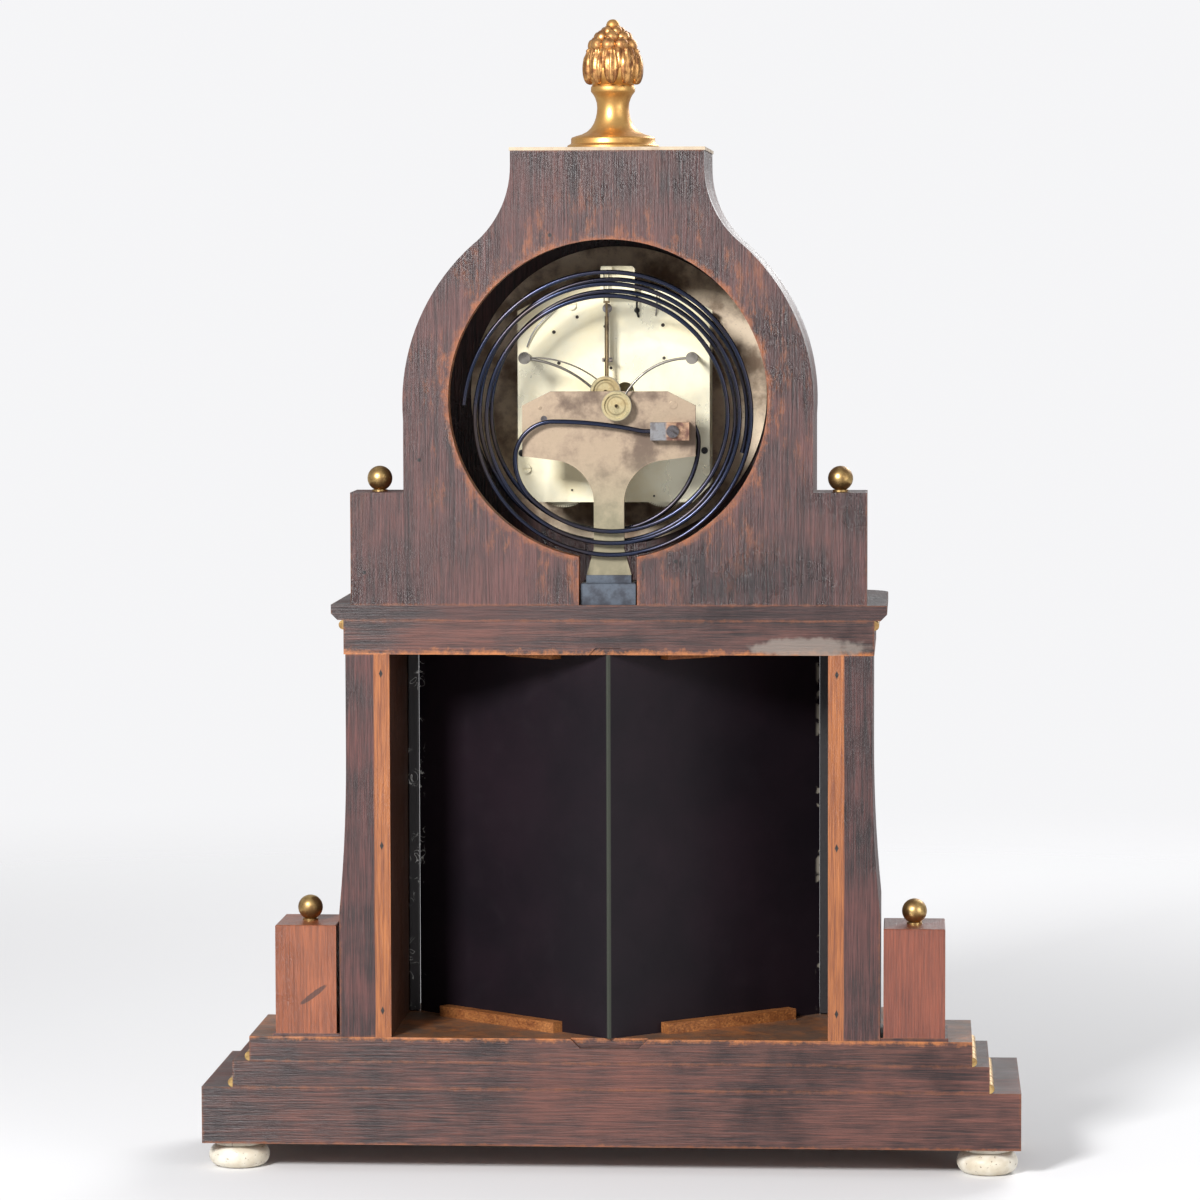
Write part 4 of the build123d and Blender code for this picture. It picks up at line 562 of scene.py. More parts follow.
# Near-black tone of the strips: painted shade.
paint_tone = mix_colour(
    tree, span(tree, noise(tree, place, 60.0), 0.3, 0.7), (0.004, 0.003, 0.004, 1.0), (0.010, 0.007, 0.008, 1.0)
)
feed(shader, {"Base Color": mix_colour(tree, strip_curl_mask, paint_tone, (0.5, 0.5, 0.48, 1.0)), "Roughness": 0.5})
emboss(tree, shader, noise(tree, place, 500.0), 0.0001)
mirror_low, mirror_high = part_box("mirror_right")
niche_floor_z, niche_top_z = float(mirror_low[2]), float(mirror_high[2])
plate_edge_x = float(mirror_high[0])
strip_y, strip_thickness, strip_play = -0.0195, 0.003, 0.0002
for name, side in (("packing_strip_left", -1), ("packing_strip_right", 1)):
    strip_middle = (side * (plate_edge_x + post_inner_x) / 2, strip_y, (niche_floor_z + niche_top_z) / 2)
    clear_selection()
    bpy.ops.mesh.primitive_cube_add(size=1.0, location=strip_middle)
    strip = bpy.context.object
    bpy.ops.object.mode_set(mode="EDIT")
    bpy.ops.mesh.select_all(action="SELECT")
    bpy.ops.transform.resize(
        value=(
            post_inner_x - plate_edge_x - strip_play,
            strip_thickness,
            niche_top_z - niche_floor_z - 2 * strip_play,
        ),
    )
    bpy.ops.mesh.bevel(offset=0.0006, segments=2, affect="EDGES")
    bpy.ops.object.mode_set(mode="OBJECT")
    fasten(strip, name, "case", painted_shade_black)

# Glue blocks: short raw pine sticks, orange with old hide glue, that hold the mirrors upright.
wooden_board("glue_blocks", 0, (0.17, 0.050, 0.014, 1.0), (0.42, 0.165, 0.045, 1.0), 0.0006, 0.5)

# Columns: polished white alabaster shafts between gilt bases and capitals.
alabaster, tree, shader = new_finish("alabaster")
place = object_place(tree)
clouding = noise(tree, place, 38.0, 6.0, 0.6, 1.2)
stone_tone = mix_colour(
    tree, span(tree, clouding, 0.3, 0.7), (0.80, 0.77, 0.71, 1.0), (0.66, 0.61, 0.54, 1.0)
)
veins = apart(tree, noise(tree, place, 24.0, 5.0, 0.6, 2.0), 0.5)
stone_colour = mix_colour(tree, span(tree, veins, 0.016, 0.0), stone_tone, (0.42, 0.33, 0.27, 1.0))
feed(
    shader,
    {"Base Color": stone_colour, "Roughness": add_scaled(tree, 0.16, clouding, 0.14), "Coat Weight": 0.25},
)
emboss(tree, shader, clouding, 0.00003)
dress(alabaster, "column_left", "column_right")
gilt_brass = old_metal("gilt_brass", (0.78, 0.55, 0.22, 1.0), (0.48, 0.30, 0.11, 1.0), 90.0, 0.06)
dress(gilt_brass, "column_bases", "column_capitals", "bezel", "bezel_hinge")

# Frieze rail and cornice slab: the rail's lower edge is raw where the rear panel sat in its rebate,
# and the slab, moulded ends and all, is darker.
frieze_foot = float(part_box("frieze")[0][2])
frieze = wooden_board(
    "frieze",
    0,
    light=(0.11, 0.040, 0.030, 1.0),
    bands=((2, frieze_foot, False, 0.0030, raw_orange),),
)
tree, shader = open_finish(frieze)
place = object_place(tree)
glue_middle = (-0.092, 0.059, frieze_foot + 0.0035)
glue_place = remap(tree, place, Location=[-value for value in glue_middle])
glue_place = remap(tree, glue_place, Scale=(34.0, 20.0, 190.0))
glue_distance = length(tree, glue_place)
glue_ragged = add_scaled(tree, glue_distance, noise(tree, place, 160.0, 5.0), 1.1)
glue = multiply(tree, span(tree, glue_ragged, 1.6, 1.2), 0.75)
rail_colour = colour_source(shader)
feed(shader, {"Base Color": mix_colour(tree, glue, rail_colour, (0.2, 0.165, 0.14, 1.0))})
wooden_board("cornice", 0, light=(0.070, 0.027, 0.023, 1.0), edge_width=0.0007)


# Head: the round-holed pine back board, the walls behind it, the front board, the cap and shoulders.
# The board's stain is rubbed to orange round the hole, beside the slot and along its outline.
def distance_from(tree, place, x, z):
    """Distance from the line through (x, z) that runs from front to back."""
    offset = remap(tree, place, Location=(-x, 0.0, -z))
    flat = add_node(tree, "ShaderNodeVectorMath", {0: offset, 1: (1.0, 0.0, 1.0)}, operation="MULTIPLY")
    return length(tree, flat.outputs[0])


glass_low, glass_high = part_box("bezel_glass")
dial_centre_z = float(glass_low[2] + glass_high[2]) / 2
hole_radius = 0.0734
slot_half_width = 0.0134
back_board = wooden_board(
    "head_back_board", 2, light=(0.100, 0.038, 0.034, 1.0), edge_width=0.0009, gloss=0.34
)
tree, shader = open_finish(back_board)
place = object_place(tree)
radius_here = distance_from(tree, place, 0.0, dial_centre_z)
hole_distance = apart(tree, radius_here, hole_radius)
hole_rub = use_group(tree, rubbed_band, {"Place": place, "Distance": hole_distance, "Width": 0.0030}).outputs["Mask"]
z_here = axes(tree, place)[2]
below_hole = span(tree, z_here, dial_centre_z - 0.066, dial_centre_z - 0.074)
slot_rub = use_group(
    tree,
    rubbed_band,
    {"Place": place, "Distance": band_distance(tree, place, 0, slot_half_width, True), "Width": 0.0020},
).outputs["Mask"]
slot_rub = multiply(tree, slot_rub, below_hole)
all_rubs = calculate(tree, "MAXIMUM", hole_rub, slot_rub)
scuff_place = remap(tree, place, Scale=(1.0, 1.0, 0.3))
scuffs = span(tree, noise(tree, scuff_place, 130.0, 8.0, 0.8), 0.50, 0.68)
near_hole = span(tree, hole_distance, 0.034, 0.002)
scuffs = multiply(tree, scuffs, add_scaled(tree, 0.1, near_hole, 0.75))
all_rubs = multiply(tree, calculate(tree, "MAXIMUM", all_rubs, scuffs), 0.85)
board_colour = colour_source(shader)
board_colour = mix_colour(tree, all_rubs, board_colour, (0.27, 0.083, 0.026, 1.0))
nail_holes = ((0.0262, 0.4347), (-0.0313, 0.2851), (0.0868, 0.3317), (0.1125, 0.2798), (-0.0545, 0.4660))
for nail_x, nail_z in nail_holes:
    nail_distance = distance_from(tree, place, nail_x, nail_z)
    nail = span(tree, nail_distance, 0.0012, 0.0006)
    board_colour = mix_colour(tree, nail, board_colour, (0.006, 0.004, 0.004, 1.0))
feed(shader, {"Base Color": board_colour})
wooden_board("head_wall_left", 2)
wooden_board("head_wall_right", 2)
wooden_board("head_front_board", 2, edge_width=0.0007, gloss=0.32)
wooden_board("shoulders", 0)
cap_sheet = old_metal("cap_sheet", (0.50, 0.40, 0.28, 1.0), (0.30, 0.22, 0.15, 1.0), 60.0, 0.25, 0.2)
dress(cap_sheet, "head_cap")

# Finial: a turned and gilt bronze foot and collar under a cast pine cone. The cone's ribbed lower
# leaves and round upper scales stand in rings, brown in their hollows.
gilt_bronze = old_metal("gilt_bronze", (0.72, 0.42, 0.14, 1.0), (0.46, 0.235, 0.075, 1.0), 75.0, 0.16, 0.95, 0.00003)
cast_bronze = old_metal("cast_bronze", (0.70, 0.38, 0.14, 1.0), (0.24, 0.105, 0.045, 1.0), 330.0, 0.16, 0.95, 0.00008)
dress(gilt_bronze, "finial")
finial_low, finial_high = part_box("finial")
cap_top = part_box("head_cap")[1][2]
finial_axis = Vector(((finial_low[0] + finial_high[0]) / 2, (finial_low[1] + finial_high[1]) / 2, cap_top))
turned_rings = (
    (21.4, 0.02),
    (21.4, 1.5),
    (21.0, 1.9),
    (19.8, 2.5),
    (19.6, 2.9),
    (19.6, 4.9),
    (19.2, 5.4),
    (17.6, 6.0),
    (14.6, 6.9),
    (12.2, 8.1),
    (10.4, 9.8),
    (9.0, 12.0),
    (8.1, 14.4),
    (7.6, 16.8),
    (7.4, 19.2),
    (7.6, 21.4),
    (8.2, 23.4),
    (9.0, 25.0),
    (10.1, 26.4),
    (10.3, 26.9),
    (10.3, 28.6),
    (10.0, 29.2),
    (9.6, 29.8),
    (11.4, 31.6),
    (12.5, 34.0),
    (12.8, 37.0),
    (12.2, 41.0),
    (10.9, 45.0),
    (9.0, 48.8),
    (6.6, 52.0),
    (3.8, 54.2),
    (2.0, 54.8),
    (2.5, 55.5),
    (3.1, 56.6),
    (3.1, 57.8),
    (2.6, 59.0),
    (1.6, 59.9),
    (0.6, 60.18),
)
clear_selection()
bpy.ops.mesh.primitive_circle_add(
    vertices=72, radius=turned_rings[0][0] / 1000, fill_type="NGON", location=finial_axis
)
turned_foot = bpy.context.object
bpy.ops.object.transform_apply(location=True, rotation=False, scale=False)
bpy.ops.object.mode_set(mode="EDIT")
bpy.ops.mesh.select_all(action="SELECT")
bpy.ops.transform.translate(value=(0.0, 0.0, turned_rings[0][1] / 1000))
for (lower_radius, lower_height), (radius, height) in zip(turned_rings, turned_rings[1:]):
    rise = (height - lower_height) / 1000
    bpy.ops.mesh.extrude_region_move(TRANSFORM_OT_translate={"value": (0.0, 0.0, rise)})
    narrowing = radius / lower_radius
    bpy.ops.transform.resize(value=(narrowing, narrowing, 1.0), center_override=finial_axis)
bpy.ops.mesh.select_all(action="SELECT")
bpy.ops.mesh.normals_make_consistent(inside=False)
bpy.ops.object.mode_set(mode="OBJECT")
bpy.ops.object.shade_smooth_by_angle(angle=math.radians(32))
fasten(turned_foot, "finial_turning", "case", gilt_bronze)
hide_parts("finial")


def select_points(piece, wanted):
    """Select, in edit mode, the points whose place passes the test."""
    bpy.ops.mesh.select_mode(type="VERT")
    bpy.ops.mesh.select_all(action="DESELECT")
    shape = bmesh.from_edit_mesh(piece.data)
    for point in shape.verts:
        point.select_set(wanted(point.co))
    shape.select_flush(True)
    bmesh.update_edit_mesh(piece.data)


def apply_modifier(piece, kind, **settings):
    """Add a modifier, set it and apply it."""
    bpy.context.view_layer.objects.active = piece
    modifier = piece.modifiers.new(kind.lower(), kind)
    for name, value in settings.items():
        setattr(modifier, name, value)
    bpy.ops.object.modifier_apply(modifier=modifier.name)


def join_pieces(pieces):
    """Join pieces into the first and return it."""
    clear_selection()
    for piece in pieces:
        piece.select_set(True)
    bpy.context.view_layer.objects.active = pieces[0]
    bpy.ops.object.join()
    return bpy.context.object


def cast_scale(half_width, half_thickness, half_height, ribbed):
    """Rounded scale that stands on the origin's level, narrower at its top, ribbed down its outer side."""
    clear_selection()
    bpy.ops.mesh.primitive_uv_sphere_add(segments=32, ring_count=16, radius=1.0)
    scale = bpy.context.object
    bpy.ops.object.mode_set(mode="EDIT")
    if ribbed:
        for rib_place in (-0.42, 0.42):
            select_points(scale, lambda co: co.y < 0.2 and abs(co.x - rib_place * (1 - 0.35 * abs(co.z))) < 0.13)
            bpy.ops.transform.translate(value=(0.0, 0.30, 0.0))
    select_points(scale, lambda co: co.z > 0.45)
    bpy.ops.transform.resize(value=(0.82, 0.9, 1.0), center_override=(0.0, 0.0, 0.45))
    select_points(scale, lambda co: co.z > 0.75)
    bpy.ops.transform.translate(value=(0.0, -0.22, -0.05))
    bpy.ops.mesh.select_all(action="SELECT")
    bpy.ops.transform.resize(value=(half_width, half_thickness, half_height), center_override=(0.0, 0.0, 0.0))
    bpy.ops.object.mode_set(mode="OBJECT")
    bpy.ops.object.shade_smooth()
    return scale


scale_rings = (
    ("cone_leaves", 10, 0.0111, 0.0386, (0.0038, 0.0034, 0.0086), 5.0, 0.0, True),
    ("cone_inner_leaves", 10, 0.0098, 0.0426, (0.0034, 0.0030, 0.0070), 14.0, 0.5, True),
    ("cone_scales_low", 9, 0.0086, 0.0482, (0.0034, 0.0031, 0.0036), 20.0, 0.25, False),
    ("cone_scales_middle", 7, 0.0062, 0.0517, (0.0033, 0.0030, 0.0033), 28.0, 0.5, False),
    ("cone_scales_high", 5, 0.0034, 0.0544, (0.0027, 0.0025, 0.0027), 35.0, 0.0, False),
)
for name, count, ring_radius, height, half_sizes, lean, offset, ribbed in scale_rings:
    first = cast_scale(*half_sizes, ribbed)
    scales = []
    for step in range(count):
        scale = first.copy()
        scale.data = first.data.copy()
        bpy.context.scene.collection.objects.link(scale)
        scale.matrix_world = (
            Matrix.Translation(finial_axis + Vector((0, 0, height)))
            @ Matrix.Rotation(2 * math.pi * (step + offset) / count, 4, "Z")
            @ Matrix.Translation((0.0, -ring_radius, 0.0))
            @ Matrix.Rotation(math.radians(-lean), 4, "X")
        )
        scales.append(scale)
    bpy.data.objects.remove(first)
    fasten(join_pieces(scales), name, "case", cast_bronze)

# Steel fittings of the head: the finial's nut and the block that carries the gongs.
grey_steel = old_metal("grey_steel", (0.42, 0.42, 0.43, 1.0), (0.20, 0.16, 0.14, 1.0), 140.0, 0.14, 0.9)
grey_iron = old_metal("grey_iron", (0.105, 0.125, 0.155, 1.0), (0.045, 0.048, 0.060, 1.0), 110.0, 0.2, 0.6)
dress(grey_steel, "finial_nut", "front_clamp")
dress(grey_iron, "gong_block")

# Rear clamp: steel block, grey where the wire enters and stained coppery round its dark slotted screw.
clamp_side_x = float(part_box("rear_clamp")[0][0])
clamp_steel = old_metal("clamp_steel", (0.30, 0.30, 0.31, 1.0), (0.13, 0.12, 0.12, 1.0), 260.0, 0.12, 0.8, 0.00005)
tree, shader = open_finish(clamp_steel)
place = object_place(tree)
x_here = axes(tree, place)[0]
screw_side = span(tree, x_here, clamp_side_x + 0.0112, clamp_side_x + 0.0098)
stain = mix_colour(
    tree, span(tree, noise(tree, place, 420.0, 5.0), 0.4, 0.65), (0.42, 0.26, 0.17, 1.0), (0.17, 0.09, 0.07, 1.0)
)
feed(shader, {"Base Color": mix_colour(tree, screw_side, colour_source(shader), stain)})
dress(clamp_steel, "rear_clamp")
screw_steel = old_metal("screw_steel", (0.16, 0.15, 0.16, 1.0), (0.045, 0.038, 0.036, 1.0), 300.0, 0.1, 0.9)
dress(screw_steel, "clamp_screws")

# Gong bracket: sawn brass plate gone grey-brown, with a greenish bloom on its stem.
bracket_brass = old_metal(
    "bracket_brass", (0.43, 0.33, 0.235, 1.0), (0.145, 0.105, 0.080, 1.0), 55.0, 0.18, 0.75, 0.00008
)
tree, shader = open_finish(bracket_brass)
z_here = axes(tree, object_place(tree))[2]
stem_bloom = multiply(tree, span(tree, z_here, dial_centre_z - 0.02, dial_centre_z - 0.06), 0.55)
feed(shader, {"Base Color": mix_colour(tree, stem_bloom, colour_source(shader), (0.3, 0.29, 0.19, 1.0))})
dress(bracket_brass, "gong_bracket")

# Gongs: coiled steel wire, blued, with brown patches.
blued_steel, tree, shader = new_finish("blued_steel")
place = object_place(tree)
heat = span(tree, noise(tree, place, 30.0, 3.0), 0.35, 0.7)
feed(
    shader,
    {
        "Base Color": mix_colour(tree, heat, (0.03, 0.038, 0.07, 1.0), (0.045, 0.036, 0.036, 1.0)),
        "Roughness": add_scaled(tree, 0.2, heat, 0.14),
        "Metallic": 0.95,
    },
)
emboss(tree, shader, noise(tree, place, 1200.0), 0.00002)
dress(blued_steel, "rear_gong", "front_gong", "hour_hand", "minute_hand")

# Movement: polished brass plates, pillars, wheels and barrels, very bright, with light scratches. Their
# near-white cream is a painted highlight laid over the brass colour.
bright_brass = old_metal("bright_brass", (0.98, 0.93, 0.72, 1.0), (0.92, 0.82, 0.55, 1.0), 26.0, 0.08, 0.5, 0.000006)
dress(
    bright_brass,
    "back_plate",
    "front_plate",
    "pillars",
    "going_barrel",
    "strike_barrel",
    "centre_arbor",
    "intermediate_wheel",
    "third_wheel",
    "escape_wheel",
    "minute_wheel",
    "hour_wheel",
    "suspension_cock",
)
rod_brass = old_metal("rod_brass", (0.30, 0.22, 0.12, 1.0), (0.12, 0.09, 0.06, 1.0), 120.0, 0.12)
dress(rod_brass, "pendulum")
dress(grey_steel, "anchor")
silk, tree, shader = new_finish("silk_thread")
place = object_place(tree)
twist = noise(tree, remap(tree, place, Scale=(1.0, 1.0, 0.3)), 2500.0)
feed(
    shader,
    {
        "Base Color": mix_colour(tree, twist, (0.012, 0.011, 0.012, 1.0), (0.06, 0.055, 0.05, 1.0)),
        "Roughness": 0.6,
    },
)
dress(silk, "silk_loop")


# Bushes in the back plate: drilled and oil-darkened pivot holes of the striking train, each in a
# slightly raised ring, and black-headed screws.
def select_faces(piece, wanted):
    """Select, in edit mode, the faces whose centre and normal pass the test."""
    bpy.ops.mesh.select_mode(type="FACE")
    bpy.ops.mesh.select_all(action="DESELECT")
    shape = bmesh.from_edit_mesh(piece.data)
    for face in shape.faces:
        face.select_set(wanted(face.calc_center_median(), face.normal))
    bmesh.update_edit_mesh(piece.data)


plate_back_y = float(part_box("back_plate")[1][1])
lying_back = (math.radians(-90), 0.0, 0.0)
oil_dark, tree, shader = new_finish("oil_dark")
oil_tone = noise(tree, object_place(tree), 800.0)
feed(
    shader,
    {
        "Base Color": mix_colour(tree, oil_tone, (0.012, 0.009, 0.006, 1.0), (0.05, 0.035, 0.02, 1.0)),
        "Roughness": 0.35,
    },
)


def plate_bush(x, z, radius, hole_share):
    """Low ring with a dark hole, on the plate's back."""
    clear_selection()
    bpy.ops.mesh.primitive_cylinder_add(
        vertices=28, radius=radius, depth=0.0003, location=(x, plate_back_y + 0.0001, z), rotation=lying_back
    )
    bush = bpy.context.object
    bush.data.materials.append(bright_brass)
    bush.data.materials.append(oil_dark)
    bpy.ops.object.mode_set(mode="EDIT")
    select_faces(bush, lambda centre, normal: normal.z > 0.9)
    bpy.ops.mesh.inset(thickness=radius * (1 - hole_share), depth=0.0)
    bpy.ops.mesh.inset(thickness=radius * 0.06, depth=-0.0002)
    bush.active_material_index = 1
    bpy.ops.object.material_slot_assign()
    bpy.ops.object.mode_set(mode="OBJECT")
    return bush


bush_places = (
    (0.0170, 0.0374, 0.0014),
    (0.0279, 0.0304, 0.0015),
    (0.0256, 0.0159, 0.0015),
    (0.0040, 0.0330, 0.0012),
    (0.0012, 0.0136, 0.0013),
    (-0.0232, 0.0336, 0.0015),
    (-0.0237, 0.0182, 0.0013),
    (0.0196, -0.0436, 0.0009),
    (-0.0189, -0.0463, 0.0009),
)
bushes = join_pieces([plate_bush(x, dial_centre_z + z, radius, 0.62) for x, z, radius in bush_places])
fasten(bushes, "plate_bushes", "case", None)


def slotted_screw(x, y, z, radius, height, slot_angle):
    """Round screw head that faces the back, with a cut slot."""
    clear_selection()
    bpy.ops.mesh.primitive_cylinder_add(
        vertices=32, radius=radius, depth=height, location=(x, y + height / 2, z), rotation=lying_back
    )
    screw = bpy.context.object
    bpy.ops.object.mode_set(mode="EDIT")
    select_faces(screw, lambda centre, normal: normal.z > 0.9)
    bpy.ops.mesh.bevel(offset=height * 0.3, segments=2, affect="EDGES")
    bpy.ops.object.mode_set(mode="OBJECT")
    clear_selection()
    bpy.ops.mesh.primitive_cube_add(
        size=1.0,
        location=(x, y + height, z),
        rotation=(0.0, slot_angle, 0.0),
        scale=(radius * 2.4, height, radius * 0.28),
    )
    cutter = bpy.context.object
    apply_modifier(screw, "BOOLEAN", operation="DIFFERENCE", object=cutter, solver="EXACT")
    bpy.data.objects.remove(cutter)
    return screw


black_steel = old_metal("black_steel", (0.05, 0.05, 0.055, 1.0), (0.02, 0.018, 0.018, 1.0), 200.0, 0.1, 0.8)
screw_places = ((-0.0426, -0.0250, 0.0016, 0.4), (0.0431, -0.0262, 0.0016, 1.2), (-0.0111, 0.0405, 0.0013, 0.2))
plate_screws = join_pieces(
    [slotted_screw(x, plate_back_y, dial_centre_z + z, radius, 0.0011, angle) for x, z, radius, angle in screw_places]
)
fasten(plate_screws, "plate_screws", "case", black_steel)

# Stud and steadying pins on the bracket: the far clamp's screw shows as a blind end.
bracket_back_y = float(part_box("gong_bracket")[1][1])
stud = slotted_screw(-0.0298, bracket_back_y, dial_centre_z - 0.0026, 0.0019, 0.0003, 0.7)
pin_places = ((0.0300, -0.0128, 0.0008), (-0.0228, -0.0195, 0.0008), (0.0318, -0.0040, 0.0007))
pins = [
    slotted_screw(x, bracket_back_y, dial_centre_z + z, radius, 0.0005, 1.5) for x, z, radius in pin_places
]
fasten(join_pieces([stud] + pins), "bracket_pins", "case", bracket_brass)


# Wires on the movement: the long spring of the front hammer and the hooked lifting pieces under the
# suspension, drawn steel wire.
def drawn_wire(name, points, radius, finish, body="case"):
    """Smooth round wire through these points, given as (x, depth behind the plate, z from the dial's centre)."""
    curve = bpy.data.curves.new(name, "CURVE")
    curve.dimensions = "3D"
    curve.bevel_depth = radius
    curve.bevel_resolution = 3
    curve.use_fill_caps = True
    spline = curve.splines.new("NURBS")
    spline.points.add(len(points) - 1)
    for point, (x, depth, z) in zip(spline.points, points):
        point.co = (x, plate_back_y + depth, dial_centre_z + z, 1.0)
    spline.order_u = 3
    spline.use_endpoint_u = True
    spline.resolution_u = 10
    wire = bpy.data.objects.new(name, curve)
    bpy.context.scene.collection.objects.link(wire)
    clear_selection()
    wire.select_set(True)
    bpy.context.view_layer.objects.active = wire
    bpy.ops.object.convert(target="MESH")
    fasten(bpy.context.object, name, body, finish)


drawn_wire(
    "hammer_spring",
    (
        (0.0405, 0.001, 0.0235),
        (0.0385, 0.0018, 0.029),
        (0.0345, 0.002, 0.0345),
        (0.0285, 0.0016, 0.04),
        (0.0235, 0.0006, 0.0445),
    ),
    0.00035,
    grey_steel,
)
drawn_wire(
    "left_hook",
    ((-0.0112, 0.0030, 0.0490), (-0.0112, 0.0034, 0.0440), (-0.0112, 0.0030, 0.0395), (-0.0118, 0.0008, 0.0375)),
    0.0005,
    black_steel,
)
drawn_wire(
    "right_hook",
    ((-0.0205, 0.0022, 0.0500), (-0.0205, 0.0026, 0.0450), (-0.0203, 0.0018, 0.0405), (-0.0198, 0.0005, 0.0380)),
    0.0003,
    grey_steel,
)

# Hammers: wire arms with dished and turned brass heads.
hammer_heads = (("rear_hammer", (-0.0039, -0.0029)), ("front_hammer", (0.0020, 0.0034)))
head_radius, groove_radius, pin_radius = 0.0064, 0.0041, 0.0009
for name, (head_x, head_z) in hammer_heads:
    finish = old_metal(
        name + "_brass", (0.62, 0.53, 0.31, 1.0), (0.30, 0.23, 0.12, 1.0), 130.0, 0.08, 0.9, 0.00003
    )
    tree, shader = open_finish(finish)
    head_distance = distance_from(tree, object_place(tree), head_x, dial_centre_z + head_z)
    arm = span(tree, head_distance, head_radius, head_radius + 0.0008)
    pin = span(tree, head_distance, pin_radius, pin_radius - 0.0002)
    turned_groove = span(tree, apart(tree, head_distance, groove_radius), 0.0006, 0.0001)
    colour = mix_colour(
        tree, multiply(tree, turned_groove, 0.6), colour_source(shader), (0.16, 0.12, 0.06, 1.0)
    )
    colour = mix_colour(tree, arm, colour, (0.19, 0.175, 0.155, 1.0))
    feed(shader, {"Base Color": mix_colour(tree, pin, colour, (0.05, 0.035, 0.02, 1.0))})
    dress(finish, name)

# Dial pan: pressed brass behind the front board, mottled tan and grey with old glue. Its bright tan is
# painted light.
pan_brass = old_metal("pan_brass", (0.92, 0.75, 0.55, 1.0), (0.36, 0.25, 0.17, 1.0), 62.0, 0.3, 0.15, 0.0002)
dress(pan_brass, "dial_pan")

# Dial: white enamel with plain Roman numerals, a minute track and brass eyelets round the holes.
enamel, tree, shader = new_finish("white_enamel")
place = object_place(tree)
enamel_tone = mix_colour(tree, noise(tree, place, 16.0, 4.0), (0.86, 0.84, 0.79, 1.0), (0.79, 0.76, 0.69, 1.0))
feed(
    shader,
    {
        "Base Color": enamel_tone,
        "Roughness": add_scaled(tree, 0.14, noise(tree, place, 60.0), 0.08),
        "Coat Weight": 0.5,
    },
)
dress(enamel, "dial")
dial_low, dial_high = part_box("dial")
dial_face_y = float(dial_low[1])
dial_radius = float(dial_high[0] - dial_low[0]) / 2
dial_ink, tree, shader = new_finish("dial_ink")
ink_tone = noise(tree, object_place(tree), 300.0)
feed(
    shader,
    {
        "Base Color": mix_colour(tree, ink_tone, (0.012, 0.012, 0.016, 1.0), (0.03, 0.03, 0.04, 1.0)),
        "Roughness": 0.3,
    },
)
numerals = ("XII", "I", "II", "III", "IIII", "V", "VI", "VII", "VIII", "IX", "X", "XI")
numeral_radius = dial_radius * 0.72
numeral_size, ink_thickness = 0.0125, 0.00004
numeral_pieces = []
for hour, letters in enumerate(numerals):
    clear_selection()
    bpy.ops.object.text_add()
    numeral = bpy.context.object
    numeral.data.body = letters
    numeral.data.align_x = "CENTER"
    numeral.data.align_y = "CENTER"
    numeral.data.size = numeral_size
    numeral.data.space_character = 0.92
    numeral.data.extrude = ink_thickness
    bpy.ops.object.convert(target="MESH")
    numeral = bpy.context.object
    numeral.data.transform(
        Matrix.Translation((0.0, dial_face_y - ink_thickness, dial_centre_z))
        @ Matrix.Rotation(math.radians(30 * hour), 4, "Y")
        @ Matrix.Translation((0.0, 0.0, numeral_radius))
        @ Matrix.Rotation(math.radians(90), 4, "X")
        @ Matrix.Diagonal((0.8, 1.15, 1.0, 1.0))
    )
    numeral_pieces.append(numeral)
fasten(join_pieces(numeral_pieces), "dial_numerals", "case", dial_ink)

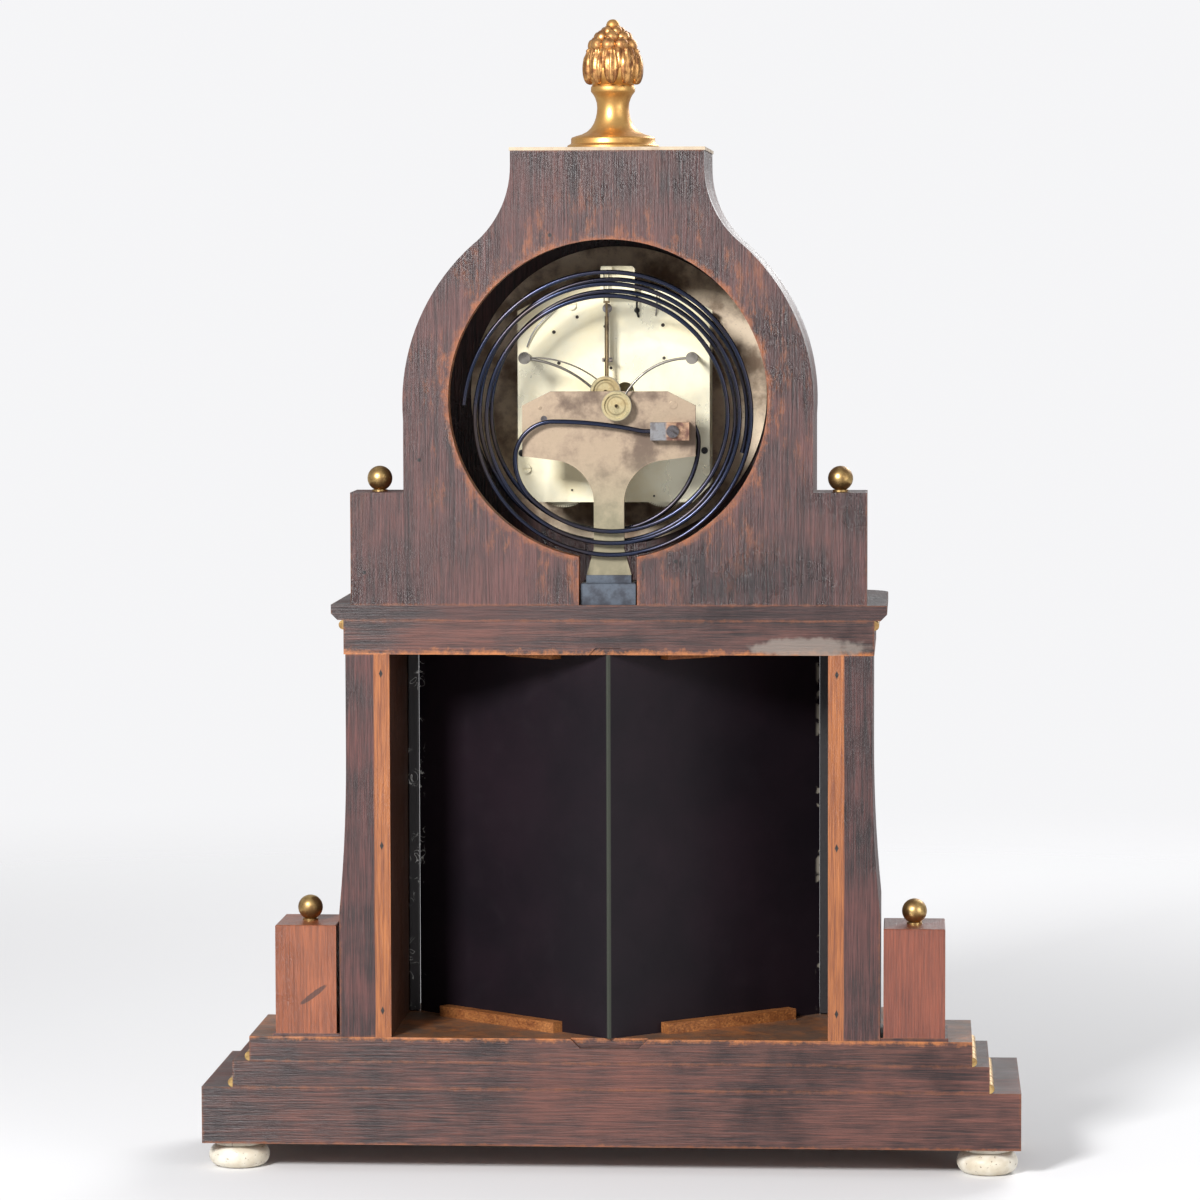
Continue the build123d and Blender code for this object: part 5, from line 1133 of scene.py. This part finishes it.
five_minute_width, minute_width, mark_length, line_radius = 0.0007, 0.00025, 0.0026, 0.00016
minute_marks = []
for minute in range(60):
    mark_width = minute_width if minute % 5 else five_minute_width
    clear_selection()
    bpy.ops.mesh.primitive_cube_add(size=1.0, scale=(mark_width, ink_thickness * 2, mark_length))
    mark = bpy.context.object
    bpy.ops.object.transform_apply(location=False, rotation=False, scale=True)
    mark.data.transform(
        Matrix.Translation((0.0, dial_face_y - ink_thickness, dial_centre_z))
        @ Matrix.Rotation(math.radians(6 * minute), 4, "Y")
        @ Matrix.Translation((0.0, 0.0, dial_radius * 0.895))
    )
    minute_marks.append(mark)
for track_radius in (dial_radius * 0.875, dial_radius * 0.915):
    clear_selection()
    bpy.ops.mesh.primitive_torus_add(
        major_radius=track_radius,
        minor_radius=line_radius,
        major_segments=120,
        minor_segments=6,
        location=(0.0, dial_face_y - ink_thickness, dial_centre_z),
        rotation=lying_back,
    )
    track = bpy.context.object
    bpy.ops.object.mode_set(mode="EDIT")
    bpy.ops.mesh.select_all(action="SELECT")
    bpy.ops.transform.resize(value=(1.0, 0.3, 1.0), center_override=(0.0, dial_face_y - ink_thickness, dial_centre_z))
    bpy.ops.object.mode_set(mode="OBJECT")
    minute_marks.append(track)
fasten(join_pieces(minute_marks), "minute_track", "case", dial_ink)

barrel_x, barrel_z = 0.0238, -0.0372
eyelet_places = ((-barrel_x, barrel_z, 0.0038), (barrel_x, barrel_z, 0.0038), (0.0, 0.0, 0.0036))
eyelets = []
for eyelet_x, eyelet_z, eyelet_radius in eyelet_places:
    clear_selection()
    bpy.ops.mesh.primitive_torus_add(
        major_radius=eyelet_radius + 0.0004,
        minor_radius=0.0005,
        major_segments=48,
        minor_segments=10,
        location=(eyelet_x, dial_face_y, dial_centre_z + eyelet_z),
        rotation=lying_back,
    )
    eyelet = bpy.context.object
    bpy.ops.object.mode_set(mode="EDIT")
    bpy.ops.mesh.select_all(action="SELECT")
    bpy.ops.transform.resize(value=(1.0, 0.7, 1.0), center_override=(eyelet_x, dial_face_y, dial_centre_z + eyelet_z))
    bpy.ops.object.mode_set(mode="OBJECT")
    bpy.ops.object.shade_smooth()
    eyelets.append(eyelet)
fasten(join_pieces(eyelets), "dial_eyelets", "case", gilt_brass)

# Glass of the bezel: a clear flat pane.
pane, tree, shader = new_finish("clear_glass")
feed(
    shader, {"Base Color": (0.96, 0.98, 0.97, 1.0), "Transmission Weight": 1.0, "Roughness": 0.02, "IOR": 1.45}
)
dress(pane, "bezel_glass")
